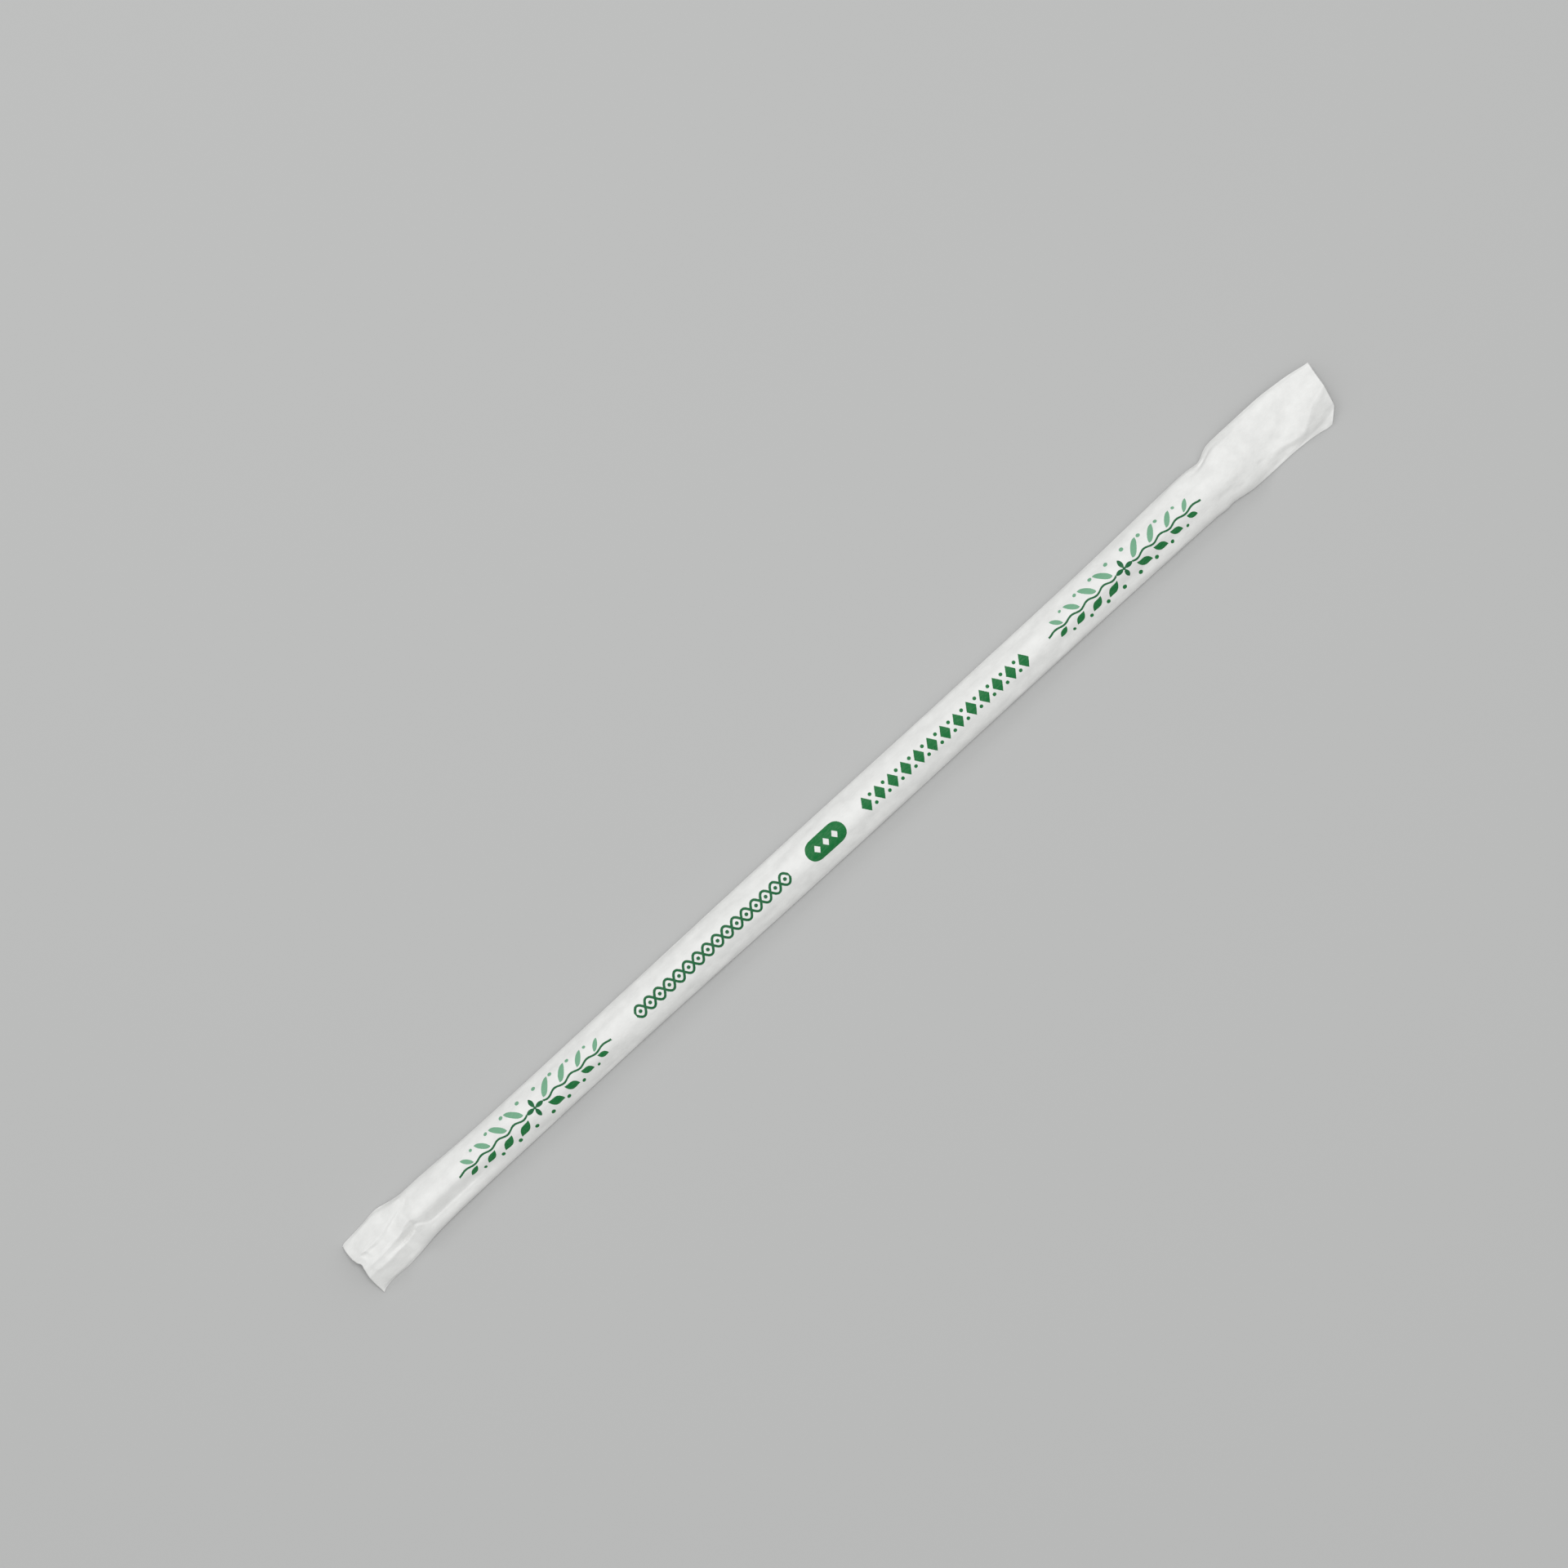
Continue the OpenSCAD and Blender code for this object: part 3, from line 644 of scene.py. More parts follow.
class Graph:
    """A node tree under construction."""

    # Places of the Mix node's colour sockets
    MIX_COLOURS = (6, 7)
    MIX_RESULT = 2

    def __init__(self, tree: bpy.types.NodeTree) -> None:
        """Start on a tree, with its nodes removed."""
        self.tree = tree
        tree.nodes.clear()

    @classmethod
    def of_material(cls, name: str) -> Tuple[bpy.types.Material, "Graph"]:
        """Return a new material with a graph on its tree."""
        material = bpy.data.materials.new(name)
        material.use_nodes = True
        return material, cls(material.node_tree)

    def node(
        self,
        kind: str,
        settings: Optional[Mapping[str, Any]] = None,
        sockets: Optional[Mapping[Union[str, int], Any]] = None,
    ) -> bpy.types.Node:
        """Add a node.

        Args:
            kind: The node's type.
            settings: Its own settings.
            sockets: Values or links of its input sockets, by name or place.

        Returns:
            The new node.
        """
        made = self.tree.nodes.new(kind)
        for name, value in (settings or {}).items():
            setattr(made, name, value)
        for key, value in (sockets or {}).items():
            if isinstance(value, Signal):
                value = value.socket
            if isinstance(value, bpy.types.NodeSocket):
                self.tree.links.new(value, made.inputs[key])
            else:
                made.inputs[key].default_value = value
        return made

    def value(self, node: bpy.types.Node, output: Union[str, int] = 0) -> Signal:
        """Return a node's output as a signal."""
        return Signal(self, node.outputs[output])

    def colour_mix(self, share: Operand, a: Any, b: Any) -> bpy.types.NodeSocket:
        """Return the colour a share of the way from a to b."""
        settings = {"data_type": "RGBA", "clamp_factor": True}
        first, second = self.MIX_COLOURS
        node = self.node("ShaderNodeMix", settings, {0: share, first: a, second: b})
        return node.outputs[self.MIX_RESULT]


class Ink(Enum):
    """The printed greens, as linear colours."""

    DEEP = (0.001, 0.168, 0.036, 1.0)
    FOREST = (0.001, 0.128, 0.036, 1.0)
    LEAF = (0.18, 0.42, 0.26, 1.0)


class SleevePrint:
    """A generic printed border: leafy sprigs, a plait, a capsule and a row of lozenges.

    Places and sizes are in millimetres on the opened sheet.
    """

    SOFT_EDGE = 0.06
    WOBBLE = 0.1
    CENTRE = -0.35

    # Sprigs: their middles, and half of their length
    SPRIGS = (-80.2, 72.9)
    SPRIG_HALF = 20.4
    SPRIG_TAPER = 0.5
    STEM_HALF = 0.21
    STEM_WAVE = 0.3
    STEM_SHORT = 0.7
    HEART_RADIUS = 0.3
    PETAL_PLACE = 1.15
    PETAL_SIZE = (1.0, 0.46)
    FLOWER_REACH = 2.1
    LEAF_PITCH = 4.2
    LEAF_COUNT = 4
    LEAF_PLACE = 1.95
    LEAF_SHIFT = 0.1
    LEAF_TURN = 40.0
    LEAF_SIZE = (2.0, 0.78)
    BUD_PLACE = 3.35
    BUD_RADIUS = 0.46

    # Plait: its middle, and half of its length
    PLAIT = (-34.0, 20.0)
    PLAIT_PERIOD = 5.0
    PLAIT_HEIGHT = 1.25
    PLAIT_LINE = 0.26
    PLAIT_DOT = 0.38

    # Capsule: its middle, half of its length and its radius
    CAPSULE = (-4.6, 4.7, 2.3)
    GAP_PITCH = 2.2
    GAP_SIZE = 0.72
    GAP_SLIM = 0.8
    GAP_REACH = 3.2

    # Lozenges: the row's middle, and half of its length
    LOZENGES = (26.4, 22.1)
    LOZENGE_PITCH = 3.4
    LOZENGE_SIZE = (1.2, 1.75)
    LOZENGE_SLOPE = 0.95
    DOT_PLACE = 1.05
    DOT_RADIUS = 0.38
    DOT_SHORT = 0.6

    INK_BLEND = 1.2

    def __init__(self, graph: Graph, unevenness: Signal) -> None:
        """Read the place on the opened sheet, in millimetres.

        Args:
            graph: The material's tree.
            unevenness: A noise about 0 that roughens the edges of the ink.
        """
        self.graph = graph
        where = graph.node("ShaderNodeUVMap", {"uv_map": SHEET_MAP})
        parts = graph.node("ShaderNodeSeparateXYZ", None, {0: where.outputs[0]})
        self.x = graph.value(parts, 0) * MAP_SCALE
        self.y = graph.value(parts, 1) * MAP_SCALE - self.CENTRE
        self.roughness = unevenness * self.WOBBLE

    def _inside(self, edge: Signal) -> Signal:
        """Return 1 inside an outline and 0 outside it, from the distance to its edge."""
        return (0.5 - (edge + self.roughness) / self.SOFT_EDGE).held()

    @staticmethod
    def _lens(x: Signal, y: Signal, half_length: float, half_width: float) -> Signal:
        """Return the distance to a leaf shaped as the overlap of two circles."""
        radius = (half_length**2 + half_width**2) / (2 * half_width)
        off = radius - half_width
        return distance(x, abs(y) + off) - radius

    @staticmethod
    def _turned(x: Signal, y: Signal, degrees: float) -> Tuple[Signal, Signal]:
        """Return the place seen from axes turned by an angle."""
        c, s = math.cos(math.radians(degrees)), math.sin(math.radians(degrees))
        return x * c + y * s, y * c - x * s

    @staticmethod
    def _cell(x: Signal, pitch: float) -> Signal:
        """Return the way from the middle of a repeat, with one middle at 0."""
        return (x + pitch / 2).remainder(pitch) - pitch / 2

    def sprigs(self) -> Tuple[Signal, Signal]:
        """Return the masks of the stems with their flowers, and of the leaves and buds."""
        near, far = self.SPRIGS
        x = self.x - near
        x = x - (self.x > (near + far) / 2) * (far - near)
        out = abs(x)
        half, pitch = self.SPRIG_HALF, self.LEAF_PITCH
        taper = 1.0 - (out / half) * (out / half) * self.SPRIG_TAPER
        wave = (out * (2 * math.pi / pitch)).sine() * taper * self.STEM_WAVE
        up = self.y - wave
        stem = (abs(up) - self.STEM_HALF).most(out - half + self.STEM_SHORT)
        petal = self._lens(out - self.PETAL_PLACE, self.y, *self.PETAL_SIZE)
        petal = petal.least(self._lens(abs(self.y) - self.PETAL_PLACE, out, *self.PETAL_SIZE))
        flower = petal.least(distance(out, self.y) - self.HEART_RADIUS)
        stem = stem.most(self.FLOWER_REACH - out).least(flower)
        leaf_x = self._cell(out, pitch) + self.LEAF_SHIFT
        leaf_y = abs(up) - taper * self.LEAF_PLACE
        leaf_x, leaf_y = self._turned(leaf_x, leaf_y, self.LEAF_TURN)
        leaf = self._lens(leaf_x / taper, leaf_y / taper, *self.LEAF_SIZE)
        leaf = leaf.most(out - pitch * (self.LEAF_COUNT + 0.5)).most(pitch / 2 - out)
        bud_x, bud_y = self._cell(out - pitch / 2, pitch), abs(self.y) - taper * self.BUD_PLACE
        bud = distance(bud_x, bud_y) - taper * self.BUD_RADIUS
        bud = bud.most(out - pitch * self.LEAF_COUNT)
        return self._inside(stem), self._inside(leaf.least(bud))

    def plait(self) -> Signal:
        """Return the mask of two lines that wind round each other, with dots."""
        centre, half = self.PLAIT
        period, height = self.PLAIT_PERIOD, self.PLAIT_HEIGHT
        x = self.x - centre
        turn = x * (2 * math.pi / period)
        lean = turn.cosine() * (height * 2 * math.pi / period)
        steep = (1.0 + lean * lean).rooted()
        wave = turn.sine() * height
        strands = (abs(self.y - wave) / steep).least(abs(self.y + wave) / steep) - self.PLAIT_LINE
        dots = distance(self._cell(x - period / 4, period / 2), self.y) - self.PLAIT_DOT
        return self._inside(strands.least(dots).most(abs(x) - half))

    def capsule(self) -> Signal:
        """Return the mask of a capsule with three small lozenges left open in it."""
        centre, half, radius = self.CAPSULE
        x = self.x - centre
        body = distance((abs(x) - (half - radius)).most(0.0), self.y) - radius
        gap = abs(self._cell(x, self.GAP_PITCH)) + abs(self.y) * self.GAP_SLIM - self.GAP_SIZE
        gap = gap.most(abs(x) - self.GAP_REACH)
        return (self._inside(body) - self._inside(gap)).most(0.0)

    def lozenges(self) -> Signal:
        """Return the mask of a row of solid lozenges with dots above and below each gap."""
        centre, half = self.LOZENGES
        pitch = self.LOZENGE_PITCH
        wide, tall = self.LOZENGE_SIZE
        x = self.x - centre
        lozenge = abs(self._cell(x, pitch)) / wide + abs(self.y) / tall - 1.0
        lozenge = lozenge * self.LOZENGE_SLOPE
        gap = self._cell(x - pitch / 2, pitch)
        dots = distance(gap, abs(self.y) - self.DOT_PLACE) - self.DOT_RADIUS
        dots = dots.most(abs(x) - half + self.DOT_SHORT)
        return self._inside(lozenge.least(dots).most(abs(x) - half))

    def over(self, paper: bpy.types.NodeSocket, density: Signal) -> bpy.types.NodeSocket:
        """Print the border on the paper.

        Args:
            paper: The bare paper's colour.
            density: How much of the ink took, from 0 to 1.

        Returns:
            The printed paper's colour.
        """
        stem, leaves = self.sprigs()
        upper = (self.y / self.INK_BLEND + 0.5).held()
        leaf_ink = self.graph.colour_mix(upper, Ink.DEEP.value, Ink.LEAF.value)
        colour = self.graph.colour_mix(leaves * density, paper, leaf_ink)
        dark = stem.most(self.plait())
        colour = self.graph.colour_mix(dark * density, colour, Ink.FOREST.value)
        bold = self.capsule().most(self.lozenges())
        return self.graph.colour_mix(bold * density, colour, Ink.DEEP.value)


@dataclass(frozen=True)
class PaperFinish:
    """Thin uncoated white paper with a soft sheen, fibres and cloudy formation."""

    white: Tuple[float, float, float, float] = (0.892, 0.892, 0.88, 1.0)
    shade: Tuple[float, float, float, float] = (0.812, 0.812, 0.802, 1.0)
    roughness: float = 0.58
    fibre_size: float = 0.3
    cloud_size: float = 2.2
    pucker_size: float = 1.4
    grain_size: float = 0.22
    relief_height: float = 0.11
    specular: float = 0.25
    sheen: float = 0.04

    EVEN = (1.0, 1.0, 1.0)
    FIBRE_STRETCH = (0.35, 1.0, 1.0)
    PUCKER_STRETCH = (0.6, 1.0, 1.0)
    CLOUD_SHARE = 1.8
    FIBRE_SHARE = 0.8
    TONE_LEVEL = 0.6
    INK_LEVEL = 0.93
    INK_FIBRES = 0.12
    INK_SKIPS = (0.7, 0.1)
    FIBRE_ROUGHNESS = 0.12
    FIBRE_RELIEF = 0.2

    def build(self) -> bpy.types.Material:
        """Return the printed paper as a material."""
        material, graph = Graph.of_material("paper")
        place = graph.node("ShaderNodeTexCoord").outputs["Object"]
        fibres = self._noise(graph, place, self.fibre_size, 3.0, self.FIBRE_STRETCH)
        clouds = self._noise(graph, place, self.cloud_size, 2.0, self.EVEN)
        puckers = self._noise(graph, place, self.pucker_size, 2.0, self.PUCKER_STRETCH)
        tone = (clouds - 0.5) * self.CLOUD_SHARE + (fibres - 0.5) * self.FIBRE_SHARE
        tone = (tone + self.TONE_LEVEL).held()
        bare = graph.colour_mix(tone, self.shade, self.white)
        skip_above, skip = self.INK_SKIPS
        density = self.INK_LEVEL + fibres * self.INK_FIBRES - (fibres > skip_above) * skip
        density = density.held()
        grain = self._noise(graph, place, self.grain_size, 1.0, self.EVEN) - 0.5
        printed = SleevePrint(graph, grain).over(bare, density)
        rough = (self.roughness + (fibres - 0.5) * self.FIBRE_ROUGHNESS).held()
        relief = fibres * self.FIBRE_RELIEF + abs(puckers - 0.5)
        sockets = {"Strength": 1.0, "Distance": self.relief_height * MM, "Height": relief}
        bump = graph.node("ShaderNodeBump", None, sockets)
        shader = graph.node(
            "ShaderNodeBsdfPrincipled",
            None,
            {
                "Base Color": printed,
                "Roughness": rough,
                "Specular IOR Level": self.specular,
                "Sheen Weight": self.sheen,
                "Normal": bump.outputs[0],
            },
        )
        graph.node("ShaderNodeOutputMaterial", None, {"Surface": shader.outputs[0]})
        return material

    @staticmethod
    def _noise(
        graph: Graph,
        place: bpy.types.NodeSocket,
        size: float,
        detail: float,
        stretch: Tuple[float, float, float],
    ) -> Signal:
        """Return a noise from 0 to 1 whose features are about size millimetres wide."""
        mapped = graph.node("ShaderNodeMapping", None, {"Vector": place, "Scale": stretch})
        sockets = {"Vector": mapped.outputs[0], "Scale": 1 / (size * MM), "Detail": detail}
        return graph.value(graph.node("ShaderNodeTexNoise", None, sockets), 0)


@dataclass(frozen=True)
class FloorFinish:
    """A plain pale floor."""

    colour: Tuple[float, float, float, float] = (0.52, 0.522, 0.52, 1.0)
    roughness: float = 0.8

    def build(self) -> bpy.types.Material:
        """Return the floor's material."""
        material, graph = Graph.of_material("pale_floor")
        sockets = {"Base Color": self.colour, "Roughness": self.roughness}
        shader = graph.node("ShaderNodeBsdfPrincipled", None, sockets)
        graph.node("ShaderNodeOutputMaterial", None, {"Surface": shader.outputs[0]})
        return material


@dataclass(frozen=True)
class Crumple:
    """Fine crumple of thin paper, laid over a surface by a Geometry Nodes tree."""

    height: float = 0.5
    wide: float = 6.0
    narrow: float = 2.4
    ripple: float = 0.9
    ripple_size: float = 4.5
    sway: float = 0.8
    sway_size: float = 11.0
    seed: float = 4.0

    WIDE_SHARE = 0.7
    RIPPLE_RUN = 0.5
    SWAY_RUN = 0.3
    CREASE_LEVEL = 0.62
    NARROW_SEED = 7.0
    SWAY_SEED = 3.0

    def _inputs(self) -> Dict[str, float]:
        """Return the tree's named inputs with their values, in metres."""
        return {
            "Height": self.height * MM,
            "Wide Crease": 1 / (self.wide * MM),
            "Narrow Crease": 1 / (self.narrow * MM),
            "Ripple": self.ripple * MM,
            "Ripple Scale": 1 / (self.ripple_size * MM),
            "Sway": self.sway * MM,
            "Sway Scale": 1 / (self.sway_size * MM),
            "Seed": self.seed,
        }

    def tree(self, material: bpy.types.Material) -> bpy.types.NodeTree:
        """Build the tree, with its sizes as named inputs.

        Args:
            material: The finish that it sets.

        Returns:
            The geometry node tree.
        """
        tree = bpy.data.node_groups.new("paper_crumple", "GeometryNodeTree")
        graph = Graph(tree)
        shape = tree.interface
        shape.new_socket("Geometry", in_out="INPUT", socket_type="NodeSocketGeometry")
        for name in self._inputs():
            shape.new_socket(name, in_out="INPUT", socket_type="NodeSocketFloat")
        shape.new_socket("Geometry", in_out="OUTPUT", socket_type="NodeSocketGeometry")
        given = graph.node("NodeGroupInput")
        value = {name: graph.value(given, name) for name in self._inputs()}
        slack, free = (
            graph.value(graph.node("GeometryNodeInputNamedAttribute", None, {0: name}))
            for name in SLACK_MAPS
        )
        seed = value["Seed"]
        place = graph.node("GeometryNodeInputPosition").outputs[0]
        wide = self._creases(graph, place, value["Wide Crease"], seed)
        narrow = self._creases(graph, place, value["Narrow Crease"], seed + self.NARROW_SEED)
        creased = (wide * self.WIDE_SHARE + narrow * (1 - self.WIDE_SHARE)) * slack
        ripple = self._waves(graph, place, value["Ripple Scale"], seed, self.RIPPLE_RUN)
        sway_seed = seed + self.SWAY_SEED
        sway = self._waves(graph, place, value["Sway Scale"], sway_seed, self.SWAY_RUN)
        waves = ripple * value["Ripple"] + sway * value["Sway"]
        relief = creased * value["Height"] + waves * free
        normal = graph.node("GeometryNodeInputNormal").outputs[0]
        offset = graph.node(
            "ShaderNodeVectorMath", {"operation": "SCALE"}, {"Vector": normal, "Scale": relief}
        )
        moved = graph.node(
            "GeometryNodeSetPosition",
            None,
            {"Geometry": given.outputs["Geometry"], "Offset": offset.outputs[0]},
        )
        real = graph.node("GeometryNodeRealizeInstances", None, {0: moved.outputs[0]})
        dressed = graph.node(
            "GeometryNodeSetMaterial", None, {"Geometry": real.outputs[0], "Material": material}
        )
        graph.node("NodeGroupOutput", None, {0: dressed.outputs[0]})
        return tree

    def _creases(
        self, graph: Graph, place: bpy.types.NodeSocket, size: Signal, seed: Signal
    ) -> Signal:
        """Return facets between sharp creases, level on average."""
        settings = {"voronoi_dimensions": "4D", "feature": "F1"}
        sockets = {"Vector": place, "W": seed, "Scale": size}
        cells = graph.value(graph.node("ShaderNodeTexVoronoi", settings, sockets))
        return self.CREASE_LEVEL - cells

    @staticmethod
    def _waves(
        graph: Graph, place: bpy.types.NodeSocket, scale: Signal, seed: Signal, run: float
    ) -> Signal:
        """Return soft waves about 0 that run along the sleeve."""
        stretched = graph.node(
            "ShaderNodeVectorMath", {"operation": "MULTIPLY"}, {0: place, 1: (run, 1.0, 1.0)}
        )
        sockets = {"Vector": stretched.outputs[0], "W": seed, "Scale": scale, "Detail": 1.0}
        noise = graph.node("ShaderNodeTexNoise", {"noise_dimensions": "4D"}, sockets)
        return graph.value(noise) - 0.5

    def laid_on(self, piece: bpy.types.Object, material: bpy.types.Material) -> None:
        """Crumple a piece and keep the result as its plain mesh."""
        modifier = piece.modifiers.new("crumple", "NODES")
        modifier.node_group = self.tree(material)
        values = self._inputs()
        for item in modifier.node_group.interface.items_tree:
            if item.in_out == "INPUT" and item.name in values:
                modifier[item.identifier] = values[item.name]
        depsgraph = bpy.context.evaluated_depsgraph_get()
        result = bpy.data.meshes.new_from_object(
            piece.evaluated_get(depsgraph), preserve_all_data_layers=True, depsgraph=depsgraph
        )
        piece.modifiers.clear()
        piece.data = result


@dataclass
class PaperSleeve:
    """The printed paper sleeve, with the straw's hump in it."""

    sizes: SleeveSizes
    finish: PaperFinish
    crumple: Crumple
    end_step: float = 0.22
    middle_step: float = 0.55
    top_columns: int = 79
    lower_columns: Tuple[int, int, int, int] = (7, 5, 14, 14)
    round_columns: int = 3
    fold_bulge: float = 0.4
    lip_depth: float = 0.1
    near_fine: float = 6.0
    far_fine: float = 5.0
    bake_rows: int = 4
    bake_gap: float = 0.008
    cap_strip: float = 0.03

    LEAST_SLACK = 0.1
    LEAST_FREE = 0.15
    FLAT_FREE = 0.7
    FREE_SLOPE = 1.8
    FREE_START = 0.4
    EDGE_HOLD = 12.0
    RIM_RUN = 1.2
    TOP_SHARE = 0.66
    ROW_SPARE = 1.0
    CAP_LANE = 0.2
    CAP_TALL = 0.9
    CAP_PAST = 0.02
    CAP_BARE = 2.0

    def build(self) -> bpy.types.Object:
        """Return the sleeve as one closed mesh that wears its finish."""
        form = SleeveForm(self.sizes)
        places = self._ring_places()
        rings, slack = self._rings(form, places)
        mesh = self._mesh(rings, places, slack)
        piece = placed("paper_sleeve", mesh)
        material = self.finish.build()
        self.crumple.laid_on(piece, material)
        self._rest_on_floor(piece.data)
        return piece

    def _ring_places(self) -> Array:
        """Return the places of the rings, closer together at the ends."""
        z = self.sizes
        near = z.straw_start + self.near_fine
        far = z.straw_stop - self.far_fine
        spans = (
            (z.near_end, near, self.end_step),
            (near, far, self.middle_step),
            (far, z.far_end, self.end_step),
        )
        runs = [np.linspace(a, b, math.ceil((b - a) / step), endpoint=False) for a, b, step in spans]
        return np.concatenate([*runs, [z.far_end]])

    def _rings(self, form: SleeveForm, places: Array) -> Tuple[Array, Array]:
        """Work out every point of the sleeve.

        Args:
            form: The sleeve's surface.
            places: Places of the rings along X.

        Returns:
            Points as rings by columns by three, and for each how slack the paper is and how
            free of the straw.
        """
        z = self.sizes
        s = places[:, None]
        left, right = form.edges(s)
        signed = np.linspace(1.0, -1.0, self.top_columns)[None, :]
        top = np.stack(np.broadcast_arrays(*form.top(s, signed)), axis=-1)
        lower_y = form.lower_places(s, self.lower_columns)
        lower_z = form.under(s, lower_y)
        top_over = np.stack(
            [np.interp(ly, tr[::-1, 1], tr[::-1, 2]) for ly, tr in zip(lower_y, top)]
        )
        closed = top_over - z.fold_thickness - form.lap(lower_y)
        lower_z = mixed(lower_z, closed, form.closing(s))
        lower_z = np.minimum(lower_z, top_over - z.sheet_gap)
        lower_z = np.maximum(lower_z, 0.0)
        lower_x = form.drawn_in(s, lower_y, left, right)
        lower = np.stack(np.broadcast_arrays(lower_x, lower_y, lower_z), axis=-1)
        right_round = self._rounded(top[:, -1], lower[:, 0], -1.0)
        left_round = self._rounded(lower[:, -1], top[:, 0], 1.0)
        rings = np.concatenate([top, right_round, lower, left_round], axis=1)
        outline = rings[..., :2].reshape(-1, 2)
        rings[..., :2] -= (outline.min(axis=0) + outline.max(axis=0)) / 2
        return rings, self._slack(form, s, signed, rings.shape[:2])

    def _slack(self, form: SleeveForm, s: Array, signed: Array, shape: Tuple[int, int]) -> Array:
        """Return how slack the paper is and how free of the straw, 0 off the top sheet.

        Args:
            form: The sleeve's surface.
            s: Places of the rings along the sleeve, one to a row.
            signed: Shares of the way to an edge, one to a column of the top sheet.
            shape: Numbers of rings and of columns.

        Returns:
            Both measures, one after the other.
        """
        z = self.sizes
        flat = form.flatness(s)
        within = np.clip((1 - np.abs(signed)) * self.EDGE_HOLD, 0, 1)
        rim = np.clip(np.minimum(s - z.near_end, z.far_end - s) / self.RIM_RUN, 0, 1)
        side = eased(np.abs(signed) * self.FREE_SLOPE - self.FREE_START)
        beside = mixed(self.LEAST_FREE, 1.0, side)
        slack = np.zeros((len(SLACK_MAPS), *shape))
        top = slack[:, :, : self.top_columns]
        top[0] = mixed(self.LEAST_SLACK, 1.0, flat) * within * rim
        top[1] = np.maximum(self.FLAT_FREE * flat, beside) * within * rim
        return slack

    def _rounded(self, start: Array, stop: Array, side: float) -> Array:
        """Return the columns of a rounded crease between the two sheets."""
        middle, half = (start + stop) / 2, (start - stop) / 2
        radius = np.linalg.norm(half, axis=1)
        columns = []
        for k in range(1, self.round_columns + 1):
            angle = math.pi * k / (self.round_columns + 1)
            point = middle + half * math.cos(angle)
            point[:, 1] += side * self.fold_bulge * radius * math.sin(angle)
            columns.append(point)
        return np.stack(columns, axis=1)

    def _mesh(self, rings: Array, places: Array, slack: Array) -> bpy.types.Mesh:
        """Join the rings into a closed mesh with its maps.

        Args:
            rings: Points as rings by columns by three.
            places: Places of the rings along X.
            slack: How slack the paper is at each point, and how free of the straw.

        Returns:
            The mesh, in metres.
        """
        count, size = rings.shape[:2]
        ring, column = np.meshgrid(np.arange(count - 1), np.arange(size), indexing="ij")
        nxt = (column + 1) % size
        a, b = ring * size, (ring + 1) * size
        quads = np.stack([a + column, a + nxt, b + nxt, b + column], axis=-1).reshape(-1, 4)
        around = self._arc(rings)
        along = np.repeat(places[:, None], size, axis=1)
        corners_s = np.stack([along[:-1], along[:-1], along[1:], along[1:]], axis=-1)
        here, there = around[:, :-1], around[:, 1:]
        corners_v = np.stack([here[:-1], there[:-1], there[1:], here[1:]], axis=-1)
        points = list(map(tuple, rings.reshape(-1, 3) * MM))
        faces = [tuple(q) for q in quads.tolist()]
        sheet = np.stack([corners_s, corners_v], axis=-1).reshape(-1, 2)
        bake = self._bake_map(ring, corners_s, around, column, size).reshape(-1, 2)
        caps = [self._cap(rings, places, around, points, faces, end) for end in End]
        sheet = np.concatenate([sheet, *(c[0] for c in caps)])
        bake = np.concatenate([bake, *(c[1] for c in caps)])
        mesh = bpy.data.meshes.new("paper_sleeve")
        mesh.from_pydata(points, [], faces)
        mesh.polygons.foreach_set("use_smooth", [True] * len(faces))
        for name, layer in ((SHEET_MAP, sheet / MAP_SCALE), (BAKE_MAP, bake)):
            made = mesh.uv_layers.new(name=name)
            made.data.foreach_set("uv", layer.astype(np.float32).ravel())
        for name, values in zip(SLACK_MAPS, slack):
            loose = np.zeros(len(points), np.float32)
            loose[: values.size] = values.ravel()
            mesh.attributes.new(name, "FLOAT", "POINT").data.foreach_set("value", loose)
        mesh.validate()
        mesh.update()
        return mesh

    def _arc(self, rings: Array) -> Array:
        """Return the way round each ring from the straw's crest, with the closing point."""
        closed = np.concatenate([rings, rings[:, :1]], axis=1)
        steps = np.linalg.norm(np.diff(closed[..., 1:], axis=1), axis=2)
        run = np.concatenate([np.zeros((len(rings), 1)), np.cumsum(steps, axis=1)], axis=1)
        crest = run[:, self.top_columns // 2][:, None]
        return crest - run

    def _bake_map(
        self, ring: Array, corners_s: Array, around: Array, column: Array, size: int
    ) -> Array:
        """Lay the sheet out in rows, one above another, for the closing bake.

        Args:
            ring: The first ring of each face.
            corners_s: Places along X of each face's corners.
            around: The way round each ring.
            column: The first column of each face.
            size: Number of columns.

        Returns:
            Places in the map of each face's corners.
        """
        z = self.sizes
        row_length = z.length / self.bake_rows
        first = corners_s[..., 0] + z.length / 2
        row = np.clip(np.floor(first / row_length), 0, self.bake_rows - 1)
        shares = self._row_shares(size)
        low, high = shares[column], shares[column + 1]
        across = np.stack([low, high, high, low], axis=-1)
        u = corners_s + z.length / 2 - row[..., None] * row_length
        v = (row[..., None] + across * (1 - 2 * self.bake_gap * self.bake_rows)) / self.bake_rows
        wide = 1 - 2 * self.bake_gap - self.cap_strip
        u = self.bake_gap + u / (row_length + self.ROW_SPARE) * wide
        return np.stack([u, v + self.bake_gap], axis=-1)

    def _row_shares(self, size: int) -> Array:
        """Return each column's share of a row of the bake, most of it for the top sheet."""
        top = np.linspace(0.0, self.TOP_SHARE, self.top_columns)
        rest = np.linspace(self.TOP_SHARE, 1.0, size - self.top_columns + 2)[1:]
        return np.concatenate([top, rest])

